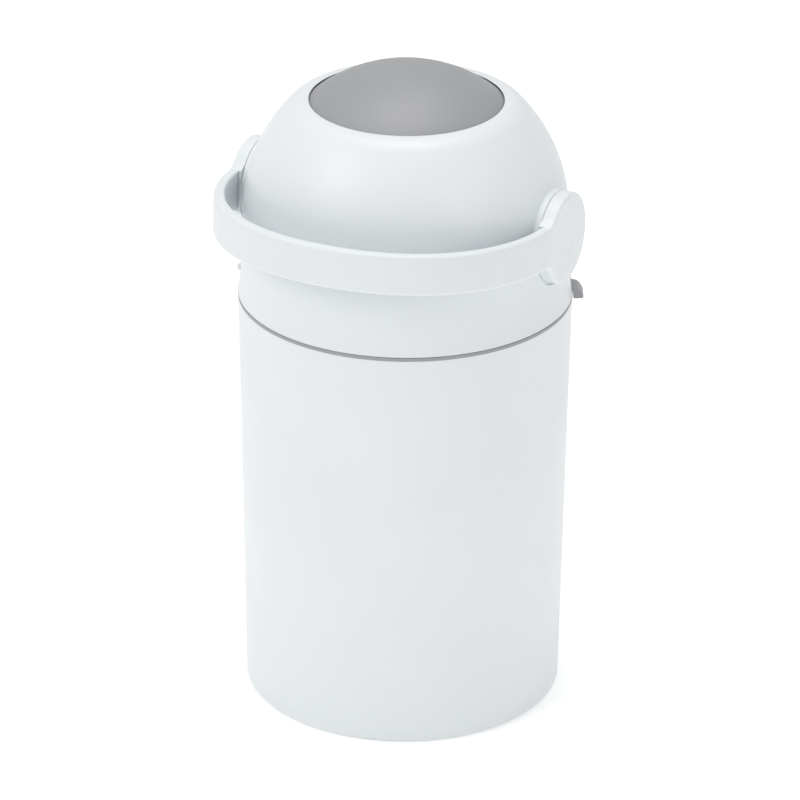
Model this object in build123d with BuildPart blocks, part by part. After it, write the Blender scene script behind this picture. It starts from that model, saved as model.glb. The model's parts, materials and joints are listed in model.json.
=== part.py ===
"""Odour-sealing nappy pail: a round container, a hinged dome head and a ball drum turned by a bail handle.

The front is -Y. The handle and the drum turn about a line parallel to X, the head tilts up about a hinge
on the left, and the release lever sits on the right, a little behind the handle's pivot.
The origin is on the floor under the container's axis. All sizes are in millimetres.
"""

import os
from math import asin, cos, degrees, radians, sin, sqrt

from build123d import *

# ---------------------------------------------------------------- driving dimensions
seam_radius = 141.3
base_radius = 136.0
rim_z = 360.3
wall = 2.8
running_gap = 0.3
shaft_fit = 0.05

# Container
container_top_radius = 141.0
container_bottom_z = 1.0
container_floor_z = 2.2
container_floor_thickness = 3.0
container_edge_radius = 3.0
base_disc_radius = 123.6
base_disc_clearance = 0.4
base_disc_edge_radius = 0.6

# Bag ring, the grey line between container and head
ring_top_z = 363.3
ring_inner_radius = 118.0
ring_skirt_radius = 137.2
ring_skirt_wall = 2.6
ring_skirt_depth = 12.0

# Head: dome and collar
head_bottom_z = ring_top_z + running_gap
dome_radius = 136.7
dome_z = 433.5
hole_radius = 81.3
rim_roll_radius = 25.1
collar_radius = 141.2
collar_shoulder_z = 395.0
collar_flare_radius = 138.8
collar_flare_z = 376.0

# Turning axis of drum and handle
pivot_z = 435.5
boss_face_x = 135.4
boss_length = 40.0
pocket_reach = 20.0
hub_radius = 39.5
hub_inner_x = 136.2
hub_outer_x = 147.6

# Drum
drum_radius = 127.0
drum_wall = 2.6
drum_pole_x = 125.5
drum_pole_depth = 5.0
mouth_depth = 99.0
mouth_hole_radius = 79.3
cup_radius = 74.0
cup_wall = 2.2
cup_floor_height = 62.0
cup_flange_radius = 78.4
cup_boss_radius = 6.0
rib_half_length = 40.0
rib_height = 119.0
mouth_ring_inner_radius = 70.0
mouth_ring_thickness = 2.6
mouth_edge_radius = 1.0

# Trunnions, bushes and hub fittings
trunnion_radius = 8.0
trunnion_screw_orbit = 14.0
trunnion_screw_count = 4
trunnion_screw_start_angle = 45.0
trunnion_pad_radius = 22.0
trunnion_flange_radius = 20.0
trunnion_flange_thickness = 3.0
drive_square = 11.0
drive_length = 5.3
bush_flange_thickness = 1.2
thrust_washer_thickness = 0.4
bush_radius = 11.0
bush_flange_radius = 14.0
bush_inner_x = 128.8
bush_bore_length = 20.0
washer_inner_radius = 9.0
bush_housing_radius = 17.0
hub_cap_radius = 12.0
hub_cap_thickness = 1.6
hub_cap_edge_radius = 0.4
hub_screw_radius = 2.0
hub_screw_length = 12.0
hub_screw_head_radius = 4.0
hub_screw_head_height = 2.4
small_screw_radius = 1.5
small_screw_head_radius = 2.8
screw_head_height = 1.2
cup_screw_length = 12.2
stop_orbit_radius = 30.0
stop_lug_radius = 3.0
stop_groove_depth = 2.2
handle_travel = 180.0

# Handle band
handle_tilt = 3.3
band_height = 34.5
band_thickness = 9.2
band_rise = 4.3
band_straight = 27.8
band_reach = 168.7
band_exponent = 2.144
band_steps = 24
band_margin = 10.0
hub_blend_radius = 14.0

# Ejector piston
piston_radius = 73.5
piston_depth = 36.0
piston_wall = 2.5
piston_nose_radius = 69.0
piston_edge_radius = 1.0
wiper_radius = 73.7
wiper_height = 4.0
wiper_inner_radius = 72.3
wiper_lift = 10.0
weight_screw_orbit = 36.0
weight_screw_count = 3
weight_radius = 50.0
weight_thickness = 6.0

# Chute plate under the drum, with its seals
chute_plate_z = 364.2
chute_plate_thickness = 2.5
chute_plate_radius = 137.0
bowl_inner_radius = 128.6
bowl_outer_radius = 131.4
bowl_bottom_z = 346.0
bowl_top_z = 385.0
bowl_plate_overlap = 1.0
lower_seal_radius = 1.6
lower_seal_z = 349.0
upper_seal_radius = 2.5
upper_seal_angle = 46.5
retainer_height = 80.0
retainer_thickness = 3.0
retainer_clearance = 1.0
gasket_inner_radius = 120.5
gasket_outer_radius = 125.5
plate_boss_orbit = 129.0
plate_boss_radius = 4.0
plate_boss_count = 6
plate_boss_start_angle = 45.0
plate_boss_height = 10.0
plate_web_length = 9.0
plate_web_thickness = 2.0
plate_screw_length = 11.5

# Head hinge, on the left
hinge_x = -145.5
hinge_z = 362.0
hinge_barrel_radius = 3.8
hinge_pin_radius = 1.5
hinge_half_length = 18.0
hinge_centre_knuckle = 6.6
hinge_leaf_half_width = 16.0
hinge_leaf_outer_x = -144.9
lower_leaf_height = 27.0
upper_leaf_height = 24.0
hinge_screw_y = 10.0
lower_screw_drop = 20.5
upper_screw_rise = 16.0
hinge_screw_length = 8.5
hinge_web_thickness = 2.4
leaf_root_drop = 1.0
leaf_inner_x = -136.0
lower_screw_seat = 137.3
upper_screw_seat = 135.4

# Release lever, on the right
latch_angle = 24.0
lever_width = 24.0
lever_slot_clearance = 0.5
lever_slot_inner_r = 134.0
lever_slot_outer_r = 149.6
lever_slot_lift = 2.0
lever_pin_r = 133.5
lever_pin_z = 372.6
lever_pin_radius = 1.5
lever_boss_radius = 3.6
lever_tip_r = 151.0
lever_top_z = 375.6
lever_bottom_z = 358.6
lever_face_r = 141.8
lever_web_z = 368.8
lever_arm_r = 123.6
lever_arm_bottom_z = 370.4
lever_arm_top_z = 373.4
lever_back_z = 376.0
lever_shoulder_r = 149.6
lever_shoulder_z = 370.0
lever_edge_top_z = 368.0
lever_edge_bottom_z = 361.8
lever_lip_r = 149.8
lever_lip_z = 360.0
ear_thickness = 3.0
ear_gap = 0.9
ear_inner_r = 129.6
ear_outer_r = 138.0
ear_bottom_z = 367.4
ear_top_z = 378.0
latch_spring_r = 125.5
latch_spring_radius = 2.2
latch_spring_wire = 0.3
latch_spring_pitch = 0.9
latch_spring_height = 2.5

# ---------------------------------------------------------------- values worked out from them
dome_inner_radius = dome_radius - wall
roll_z = dome_z + sqrt((dome_radius - rim_roll_radius) ** 2 - hole_radius ** 2)
dome_top_z = roll_z + rim_roll_radius
roll_angle = degrees(asin(hole_radius / (dome_radius - rim_roll_radius)))
seat_radius = drum_radius + 2 * running_gap
floor_top_z = container_floor_z + container_floor_thickness
mouth_z = pivot_z - mouth_depth
cup_floor_z = pivot_z + cup_floor_height
cup_bottom_z = mouth_z + mouth_ring_thickness
piston_bottom_z = cup_bottom_z + running_gap
wiper_z = piston_bottom_z + wiper_lift
weight_top_z = piston_bottom_z + piston_wall + weight_thickness
plate_top_z = chute_plate_z + chute_plate_thickness
plate_inner_radius = sqrt(bowl_inner_radius ** 2 - (pivot_z - plate_top_z) ** 2) + bowl_plate_overlap
lower_seal_distance = drum_radius + running_gap + lower_seal_radius
lower_seal_orbit = sqrt(lower_seal_distance ** 2 - (pivot_z - lower_seal_z) ** 2)
upper_seal_distance = drum_radius + running_gap + upper_seal_radius
upper_seal_orbit = upper_seal_distance * sin(radians(upper_seal_angle))
upper_seal_z = pivot_z + upper_seal_distance * cos(radians(upper_seal_angle))
rib_top_z = pivot_z + rib_height
plate_web_orbit = plate_boss_orbit + plate_web_length / 2
pivot_axis = Axis((0, 0, pivot_z), (1, 0, 0))
latch_out = (cos(radians(latch_angle)), sin(radians(latch_angle)), 0)
latch_side = (sin(radians(latch_angle)), -cos(radians(latch_angle)), 0)
latch_plane = Plane(origin=(0, 0, 0), x_dir=latch_out, z_dir=latch_side)
hinge_side_plane = Plane(origin=(0, 0, 0), x_dir=(0, 1, 0), z_dir=(-1, 0, 0))
lower_screw_z = hinge_z - lower_screw_drop
upper_screw_z = hinge_z + upper_screw_rise
lever_slot_height = lever_top_z - head_bottom_z + 2 * lever_slot_lift
ear_offset = lever_width / 2 + ear_gap + ear_thickness / 2
tilt = radians(handle_tilt)
handle_plane = Plane(origin=(0, 0, pivot_z), x_dir=(1, 0, 0), z_dir=(0, sin(tilt), cos(tilt)))
handle_side_plane = Plane(origin=(0, 0, pivot_z), x_dir=(0, cos(tilt), -sin(tilt)), z_dir=(1, 0, 0))
trunnion_screw_places = PolarLocations(
    trunnion_screw_orbit, trunnion_screw_count, start_angle=trunnion_screw_start_angle
)
sides = {"left": -1, "right": 1}

os.makedirs("parts", exist_ok=True)


def save(part, name):
    """Label a finished piece and write it as a STEP file."""
    part.label = name
    export_step(part, f"parts/{name}.step")


def outward(side, x):
    """A plane across the turning axis at distance x from the middle, facing away from the drum."""
    return Plane(origin=(side * x, 0, pivot_z), x_dir=(0, 1, 0), z_dir=(side, 0, 0))


def screw_places(z):
    """Where the two screws of a hinge leaf stand, in the plane that faces the hinge."""
    return [(-hinge_screw_y, -z), (hinge_screw_y, -z)]


def band_point(half_width, reach, angle):
    """A point on the handle band's plan curve, a superellipse in front of its straight sides."""
    power = 2 / band_exponent
    x = half_width * abs(cos(angle)) ** power * (1 if cos(angle) >= 0 else -1)
    y = -band_straight - (reach - band_straight) * abs(sin(angle)) ** power
    return (x, y)


def band_curve(half_width, reach):
    """Points of the plan curve from the right side round the front to the left side."""
    angles = [radians(180 * i / band_steps) for i in range(band_steps + 1)]
    return [band_point(half_width, reach, angle) for angle in angles]


# ---------------------------------------------------------------- container and base
with BuildPart() as container:
    with BuildSketch(Plane.XZ):
        with BuildLine():
            Polyline(
                (0, container_floor_z),
                (base_disc_radius + base_disc_clearance, container_floor_z),
                (base_disc_radius + base_disc_clearance, container_bottom_z),
                (base_radius, container_bottom_z),
                (container_top_radius, rim_z),
                (container_top_radius - wall, rim_z),
                (base_radius - wall, floor_top_z),
                (0, floor_top_z),
                close=True,
            )
        make_face()
    revolve(axis=Axis.Z)
    bottom_circles = container.edges().filter_by(GeomType.CIRCLE).group_by(Axis.Z)[0]
    fillet(bottom_circles.sort_by(SortBy.RADIUS)[-1], radius=container_edge_radius)
    with BuildSketch(hinge_side_plane.offset(container_top_radius)):
        with Locations(*screw_places(lower_screw_z)):
            Circle(small_screw_radius)
    extrude(amount=-2 * wall, mode=Mode.SUBTRACT)
save(container.part, "container")

with BuildPart() as anti_slip_base:
    with BuildSketch(Plane.XY):
        Circle(base_disc_radius)
    extrude(amount=container_floor_z)
    fillet(anti_slip_base.edges().group_by(Axis.Z)[0], radius=base_disc_edge_radius)
save(anti_slip_base.part, "anti_slip_base")

with BuildPart() as bag_ring:
    with BuildSketch(Plane.XZ):
        with BuildLine():
            Polyline(
                (ring_inner_radius, rim_z),
                (ring_skirt_radius - ring_skirt_wall, rim_z),
                (ring_skirt_radius - ring_skirt_wall, rim_z - ring_skirt_depth),
                (ring_skirt_radius, rim_z - ring_skirt_depth),
                (ring_skirt_radius, rim_z),
                (seam_radius, rim_z),
                (seam_radius, ring_top_z),
                (ring_inner_radius, ring_top_z),
                close=True,
            )
        make_face()
    revolve(axis=Axis.Z)
save(bag_ring.part, "bag_ring")

# ---------------------------------------------------------------- head shell
with BuildPart() as head_shell:
    with BuildSketch(Plane.XZ):
        with BuildLine():
            CenterArc((0, dome_z), dome_radius, 0, 90 - roll_angle)
            CenterArc((hole_radius, roll_z), rim_roll_radius, 90 - roll_angle, roll_angle)
            Polyline((hole_radius, dome_top_z), (0, dome_top_z), (0, head_bottom_z))
            Line((0, head_bottom_z), (collar_radius, head_bottom_z))
            Bezier(
                (collar_radius, head_bottom_z),
                (collar_flare_radius, collar_flare_z),
                (dome_radius, collar_shoulder_z),
                (dome_radius, dome_z),
            )
        make_face()
    revolve(axis=Axis.Z)
    for side in sides.values():
        with BuildSketch(outward(side, boss_face_x)):
            Circle(hub_radius)
        extrude(amount=-boss_length)
        with BuildSketch(outward(side, boss_face_x)):
            Circle(hub_radius + 2 * running_gap)
        extrude(amount=pocket_reach, mode=Mode.SUBTRACT)
    with BuildSketch(Plane.XZ):
        with BuildLine():
            CenterArc((0, dome_z), dome_inner_radius, 0, 90 - roll_angle)
            CenterArc((hole_radius, roll_z), rim_roll_radius - wall, 90 - roll_angle, roll_angle)
            Polyline(
                (hole_radius, dome_top_z - wall),
                (hole_radius, dome_top_z + wall),
                (0, dome_top_z + wall),
                (0, head_bottom_z - wall),
            )
            Line((0, head_bottom_z - wall), (collar_radius - wall, head_bottom_z - wall))
            Line((collar_radius - wall, head_bottom_z - wall), (collar_radius - wall, head_bottom_z))
            Bezier(
                (collar_radius - wall, head_bottom_z),
                (collar_flare_radius - wall, collar_flare_z),
                (dome_inner_radius, collar_shoulder_z),
                (dome_inner_radius, dome_z),
            )
        make_face()
    revolve(axis=Axis.Z, mode=Mode.SUBTRACT)
    with Locations((0, 0, pivot_z)):
        Sphere(seat_radius, mode=Mode.SUBTRACT)
    for side in sides.values():
        with BuildSketch(outward(side, boss_face_x)):
            Circle(bush_housing_radius)
        extrude(amount=bush_inner_x - boss_face_x)
        with BuildSketch(outward(side, boss_face_x)):
            Circle(bush_radius)
        extrude(amount=-bush_bore_length, mode=Mode.SUBTRACT)
    with BuildSketch(Plane.XY.offset(pivot_z)):
        for side in sides.values():
            with Locations((side * (boss_face_x - stop_groove_depth / 2), stop_orbit_radius)):
                Rectangle(stop_groove_depth, 2 * (stop_lug_radius + running_gap))
    revolve(axis=pivot_axis, revolution_arc=handle_travel, mode=Mode.SUBTRACT)
    for side in sides.values():
        with BuildSketch(outward(side, boss_face_x)):
            with Locations((stop_orbit_radius, 0), (-stop_orbit_radius, 0)):
                Circle(stop_lug_radius + running_gap)
        extrude(amount=-stop_groove_depth, mode=Mode.SUBTRACT)
    with BuildSketch(Plane.XY.offset(plate_top_z)):
        with PolarLocations(plate_boss_orbit, plate_boss_count, start_angle=plate_boss_start_angle):
            Circle(plate_boss_radius)
        with PolarLocations(plate_web_orbit, plate_boss_count, start_angle=plate_boss_start_angle):
            Rectangle(plate_web_length, plate_web_thickness)
        with PolarLocations(plate_boss_orbit, plate_boss_count, start_angle=plate_boss_start_angle):
            Circle(small_screw_radius, mode=Mode.SUBTRACT)
    extrude(amount=plate_boss_height)
    for side in sides.values():
        with BuildSketch(latch_plane.offset(side * ear_offset)):
            with Locations(((ear_inner_r + ear_outer_r) / 2, (ear_bottom_z + ear_top_z) / 2)):
                Rectangle(ear_outer_r - ear_inner_r, ear_top_z - ear_bottom_z)
            with Locations((lever_pin_r, lever_pin_z)):
                Circle(lever_pin_radius, mode=Mode.SUBTRACT)
        extrude(amount=ear_thickness / 2, both=True)
    with BuildSketch(latch_plane):
        with Locations(((lever_slot_inner_r + lever_slot_outer_r) / 2, (head_bottom_z + lever_top_z) / 2)):
            Rectangle(lever_slot_outer_r - lever_slot_inner_r, lever_slot_height)
    extrude(amount=lever_width / 2 + lever_slot_clearance, both=True, mode=Mode.SUBTRACT)
    with BuildSketch(hinge_side_plane.offset(collar_radius)):
        with Locations(*screw_places(upper_screw_z)):
            Circle(small_screw_radius)
    extrude(amount=-2 * wall, mode=Mode.SUBTRACT)
save(head_shell.part, "head_shell")

# ---------------------------------------------------------------- chute plate and seals
with BuildPart() as chute_plate:
    with BuildSketch(Plane.XZ):
        with Locations((0, pivot_z)):
            Circle(bowl_outer_radius)
            Circle(bowl_inner_radius, mode=Mode.SUBTRACT)
        with Locations((bowl_outer_radius / 2, (bowl_bottom_z + bowl_top_z) / 2)):
            Rectangle(bowl_outer_radius, bowl_top_z - bowl_bottom_z, mode=Mode.INTERSECT)
        with Locations(((plate_inner_radius + chute_plate_radius) / 2, (chute_plate_z + plate_top_z) / 2)):
            Rectangle(chute_plate_radius - plate_inner_radius, chute_plate_thickness)
        with Locations((lower_seal_orbit, lower_seal_z)):
            Circle(lower_seal_radius, mode=Mode.SUBTRACT)
    revolve(axis=Axis.Z)
    with BuildSketch(Plane.XY.offset(chute_plate_z)):
        with PolarLocations(plate_boss_orbit, plate_boss_count, start_angle=plate_boss_start_angle):
            Circle(small_screw_radius)
    extrude(amount=chute_plate_thickness, mode=Mode.SUBTRACT)
    with BuildSketch(Plane.XY.offset(chute_plate_z)):
        with PolarLocations(plate_boss_orbit, plate_boss_count, start_angle=plate_boss_start_angle):
            Circle(small_screw_head_radius)
    extrude(amount=screw_head_height, mode=Mode.SUBTRACT)
save(chute_plate.part, "chute_plate")

with BuildPart() as chute_plate_screws:
    with BuildSketch(Plane.XY.offset(chute_plate_z)):
        with PolarLocations(plate_boss_orbit, plate_boss_count, start_angle=plate_boss_start_angle):
            Circle(small_screw_radius)
    extrude(amount=plate_screw_length)
    with BuildSketch(Plane.XY.offset(chute_plate_z)):
        with PolarLocations(plate_boss_orbit, plate_boss_count, start_angle=plate_boss_start_angle):
            Circle(small_screw_head_radius)
    extrude(amount=screw_head_height)
save(chute_plate_screws.part, "chute_plate_screws")

with BuildPart() as lower_drum_seal:
    with BuildSketch(Plane.XZ):
        with Locations((lower_seal_orbit, lower_seal_z)):
            Circle(lower_seal_radius)
    revolve(axis=Axis.Z)
save(lower_drum_seal.part, "lower_drum_seal")

with BuildPart() as upper_drum_seal:
    with BuildSketch(Plane.XZ):
        with Locations((upper_seal_orbit, upper_seal_z)):
            Circle(upper_seal_radius)
    revolve(axis=Axis.Z)
save(upper_drum_seal.part, "upper_drum_seal")

with BuildPart() as seal_retainer:
    with BuildSketch(Plane.XZ):
        with Locations((0, dome_z)):
            Circle(dome_inner_radius)
        with Locations((0, pivot_z)):
            Circle(seat_radius + retainer_clearance, mode=Mode.SUBTRACT)
        with Locations((dome_radius / 2, pivot_z + retainer_height)):
            Rectangle(dome_radius, retainer_thickness, mode=Mode.INTERSECT)
    revolve(axis=Axis.Z)
save(seal_retainer.part, "seal_retainer")

with BuildPart() as rim_gasket:
    with BuildSketch(Plane.XY.offset(head_bottom_z)):
        Circle(gasket_outer_radius)
        Circle(gasket_inner_radius, mode=Mode.SUBTRACT)
    extrude(amount=chute_plate_z - head_bottom_z)
save(rim_gasket.part, "rim_gasket")

# ---------------------------------------------------------------- drum
for name, up in (("drum_cap_shell", 1), ("drum_lower_shell", -1)):
    with BuildPart() as half_ball:
        with BuildSketch(Plane.XZ):
            with Locations((0, pivot_z)):
                Circle(drum_radius)
                Circle(drum_radius - drum_wall, mode=Mode.SUBTRACT)
            with Locations((drum_radius / 2, pivot_z + up * drum_radius / 2)):
                Rectangle(drum_radius, drum_radius, mode=Mode.INTERSECT)
        revolve(axis=Axis.Z)
        for side in sides.values():
            with BuildSketch(outward(side, drum_pole_x)):
                Circle(trunnion_pad_radius)
            extrude(amount=-drum_pole_depth)
            with BuildSketch(outward(side, drum_pole_x)):
                Circle(trunnion_pad_radius)
            extrude(amount=drum_pole_depth, mode=Mode.SUBTRACT)
            with BuildSketch(outward(side, drum_pole_x)):
                Circle(trunnion_radius)
                with trunnion_screw_places:
                    Circle(small_screw_radius)
            extrude(amount=-drum_pole_depth, mode=Mode.SUBTRACT)
            with BuildSketch(outward(side, drum_pole_x)):
                with trunnion_screw_places:
                    Circle(small_screw_head_radius)
            extrude(amount=-screw_head_height, mode=Mode.SUBTRACT)
        with BuildSketch(Plane.XY.offset(pivot_z)):
            Circle(2 * drum_radius)
        extrude(amount=-up * drum_radius, mode=Mode.SUBTRACT)
        if up > 0:
            with BuildSketch(Plane.XY.offset(cup_floor_z + cup_wall)):
                Circle(cup_boss_radius)
                Rectangle(2 * rib_half_length, cup_wall)
                Rectangle(cup_wall, 2 * rib_half_length)
                Circle(small_screw_radius, mode=Mode.SUBTRACT)
            extrude(amount=rib_top_z - cup_floor_z - cup_wall)
        else:
            with BuildSketch(Plane.XY.offset(pivot_z - drum_radius)):
                Circle(mouth_hole_radius)
            extrude(amount=drum_radius / 2, mode=Mode.SUBTRACT)
    save(half_ball.part, name)

with BuildPart() as drum_cup:
    with BuildSketch(Plane.XY.offset(cup_bottom_z)):
        Circle(cup_radius + cup_wall)
        Circle(cup_radius, mode=Mode.SUBTRACT)
    extrude(amount=cup_floor_z - cup_bottom_z)
    with BuildSketch(Plane.XY.offset(cup_floor_z)):
        Circle(cup_radius + cup_wall)
        Circle(small_screw_radius, mode=Mode.SUBTRACT)
    extrude(amount=cup_wall)
    with BuildSketch(Plane.XY.offset(cup_bottom_z)):
        Circle(cup_flange_radius)
        Circle(cup_radius, mode=Mode.SUBTRACT)
    extrude(amount=cup_wall)
save(drum_cup.part, "drum_cup")

with BuildPart() as cup_screw:
    with BuildSketch(Plane.XY.offset(cup_floor_z)):
        Circle(small_screw_radius)
    extrude(amount=cup_screw_length)
    with BuildSketch(Plane.XY.offset(cup_floor_z)):
        Circle(small_screw_head_radius)
    extrude(amount=-screw_head_height)
save(cup_screw.part, "cup_screw")

with BuildPart() as mouth_ring:
    with BuildSketch(Plane.XY.offset(mouth_z)):
        Circle(mouth_hole_radius)
        Circle(mouth_ring_inner_radius, mode=Mode.SUBTRACT)
    extrude(amount=mouth_ring_thickness)
    fillet(mouth_ring.edges().group_by(Axis.Z)[0].sort_by(SortBy.RADIUS)[0], radius=mouth_edge_radius)
save(mouth_ring.part, "mouth_ring")

# ---------------------------------------------------------------- trunnions, bushes and their screws
for name, side in sides.items():
    with BuildPart() as trunnion:
        with BuildSketch(outward(side, drum_pole_x - drum_pole_depth)):
            Circle(trunnion_flange_radius)
            with trunnion_screw_places:
                Circle(small_screw_radius, mode=Mode.SUBTRACT)
        extrude(amount=-trunnion_flange_thickness)
        with BuildSketch(outward(side, drum_pole_x - drum_pole_depth)):
            Circle(trunnion_radius)
        extrude(amount=hub_inner_x - drum_pole_x + drum_pole_depth)
        with BuildSketch(outward(side, hub_inner_x)):
            Rectangle(drive_square, drive_square, rotation=-side * handle_tilt)
        extrude(amount=drive_length)
        with BuildSketch(outward(side, hub_inner_x + drive_length)):
            Circle(hub_screw_radius)
        extrude(amount=-hub_screw_length, mode=Mode.SUBTRACT)
    save(trunnion.part, f"trunnion_{name}")

    with BuildPart() as bush:
        with BuildSketch(outward(side, boss_face_x)):
            Circle(bush_radius)
        extrude(amount=bush_inner_x - boss_face_x)
        with BuildSketch(outward(side, bush_inner_x)):
            Circle(bush_flange_radius)
        extrude(amount=-bush_flange_thickness)
        with BuildSketch(outward(side, boss_face_x)):
            Circle(trunnion_radius + shaft_fit)
        extrude(amount=-bush_bore_length, mode=Mode.SUBTRACT)
    save(bush.part, f"trunnion_bush_{name}")

with BuildPart() as trunnion_screws:
    for side in sides.values():
        with BuildSketch(outward(side, drum_pole_x)):
            with trunnion_screw_places:
                Circle(small_screw_radius)
        extrude(amount=-drum_pole_depth - trunnion_flange_thickness)
        with BuildSketch(outward(side, drum_pole_x)):
            with trunnion_screw_places:
                Circle(small_screw_head_radius)
        extrude(amount=-screw_head_height)
save(trunnion_screws.part, "trunnion_screws")

with BuildPart() as thrust_washers:
    for side in sides.values():
        with BuildSketch(outward(side, boss_face_x)):
            Circle(bush_flange_radius)
            Circle(washer_inner_radius, mode=Mode.SUBTRACT)
        extrude(amount=thrust_washer_thickness)
save(thrust_washers.part, "thrust_washers")

# ---------------------------------------------------------------- handle
with BuildPart() as handle:
    with BuildSketch(handle_plane):
        with BuildLine():
            Spline(*band_curve(hub_outer_x, band_reach), tangents=((0, -1), (0, 1)))
            Line((-hub_outer_x, -band_straight), (-hub_outer_x, hub_radius))
            Line((-hub_outer_x, hub_radius), (band_thickness - hub_outer_x, hub_radius))
            Line((band_thickness - hub_outer_x, hub_radius), (band_thickness - hub_outer_x, -band_straight))
            Spline(
                *band_curve(hub_outer_x - band_thickness, band_reach - band_thickness),
                tangents=((0, -1), (0, 1)),
            )
            Line((hub_outer_x - band_thickness, -band_straight), (hub_outer_x - band_thickness, hub_radius))
            Line((hub_outer_x - band_thickness, hub_radius), (hub_outer_x, hub_radius))
            Line((hub_outer_x, hub_radius), (hub_outer_x, -band_straight))
        make_face()
    extrude(amount=hub_radius + band_margin, both=True)
    with BuildSketch(handle_side_plane) as handle_side:
        Circle(hub_radius)
        with Locations((-(band_reach + band_margin) / 2, band_rise)):
            Rectangle(band_reach + band_margin, band_height)
        notches = handle_side.vertices().filter_by(lambda v: v.X > -hub_radius)
        fillet(notches, radius=hub_blend_radius)
    extrude(amount=hub_outer_x + band_margin, both=True, mode=Mode.INTERSECT)
    for side in sides.values():
        with BuildSketch(outward(side, hub_inner_x)):
            Circle(hub_radius)
        extrude(amount=hub_outer_x - band_thickness / 2 - hub_inner_x)
    for side in sides.values():
        with BuildSketch(outward(side, hub_inner_x)):
            with Locations((-stop_orbit_radius, 0)):
                Circle(stop_lug_radius)
        extrude(amount=-(hub_inner_x - boss_face_x + stop_groove_depth - running_gap))
        with BuildSketch(outward(side, hub_inner_x)):
            Rectangle(drive_square, drive_square, rotation=-side * handle_tilt)
        extrude(amount=drive_length, mode=Mode.SUBTRACT)
        with BuildSketch(outward(side, hub_inner_x)):
            Circle(hub_screw_radius)
        extrude(amount=hub_outer_x - hub_inner_x, mode=Mode.SUBTRACT)
        with BuildSketch(outward(side, hub_outer_x)):
            Circle(hub_screw_head_radius)
        extrude(amount=-hub_cap_thickness - hub_screw_head_height, mode=Mode.SUBTRACT)
        with BuildSketch(outward(side, hub_outer_x)):
            Circle(hub_cap_radius)
        extrude(amount=-hub_cap_thickness, mode=Mode.SUBTRACT)
save(handle.part, "handle")

with BuildPart() as hub_screws:
    for side in sides.values():
        with BuildSketch(outward(side, hub_outer_x - hub_cap_thickness)):
            Circle(hub_screw_head_radius)
        extrude(amount=-hub_screw_head_height)
        with BuildSketch(outward(side, hub_outer_x - hub_cap_thickness)):
            Circle(hub_screw_radius)
        extrude(amount=-hub_screw_head_height - hub_screw_length)
save(hub_screws.part, "hub_screws")

for name, side in sides.items():
    with BuildPart() as hub_cap:
        with BuildSketch(outward(side, hub_outer_x)):
            Circle(hub_cap_radius)
        extrude(amount=-hub_cap_thickness)
        fillet(hub_cap.faces().sort_by(Axis.X)[0 if side < 0 else -1].edges(), radius=hub_cap_edge_radius)
    save(hub_cap.part, f"hub_cap_{name}")

# ---------------------------------------------------------------- ejector piston
with BuildPart() as ejector_piston:
    with BuildSketch(Plane.XY.offset(piston_bottom_z)):
        Circle(piston_radius)
    extrude(amount=piston_depth)
    with BuildSketch(Plane.XY.offset(piston_bottom_z + piston_wall)):
        Circle(piston_radius - piston_wall)
    extrude(amount=piston_depth, mode=Mode.SUBTRACT)
    with BuildSketch(Plane.XY.offset(piston_bottom_z)):
        Circle(piston_nose_radius)
    extrude(amount=-mouth_ring_thickness)
    fillet(ejector_piston.edges().group_by(Axis.Z)[0], radius=piston_edge_radius)
    with BuildSketch(Plane.XY.offset(wiper_z)):
        Circle(piston_radius)
        Circle(wiper_inner_radius, mode=Mode.SUBTRACT)
    extrude(amount=wiper_height, mode=Mode.SUBTRACT)
    with BuildSketch(Plane.XY.offset(piston_bottom_z - mouth_ring_thickness / 2)):
        with PolarLocations(weight_screw_orbit, weight_screw_count):
            Circle(small_screw_radius)
    extrude(amount=piston_depth, mode=Mode.SUBTRACT)
save(ejector_piston.part, "ejector_piston")

with BuildPart() as piston_wiper:
    with BuildSketch(Plane.XY.offset(wiper_z)):
        Circle(wiper_radius)
        Circle(wiper_inner_radius, mode=Mode.SUBTRACT)
    extrude(amount=wiper_height)
save(piston_wiper.part, "piston_wiper")

with BuildPart() as piston_weight:
    with BuildSketch(Plane.XY.offset(piston_bottom_z + piston_wall)):
        Circle(weight_radius)
        with PolarLocations(weight_screw_orbit, weight_screw_count):
            Circle(small_screw_radius, mode=Mode.SUBTRACT)
    extrude(amount=weight_thickness)
save(piston_weight.part, "piston_weight")

with BuildPart() as piston_screws:
    with BuildSketch(Plane.XY.offset(weight_top_z)):
        with PolarLocations(weight_screw_orbit, weight_screw_count):
            Circle(small_screw_head_radius)
    extrude(amount=screw_head_height)
    with BuildSketch(Plane.XY.offset(weight_top_z)):
        with PolarLocations(weight_screw_orbit, weight_screw_count):
            Circle(small_screw_radius)
    extrude(amount=-weight_thickness - piston_wall)
save(piston_screws.part, "piston_screws")

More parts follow.
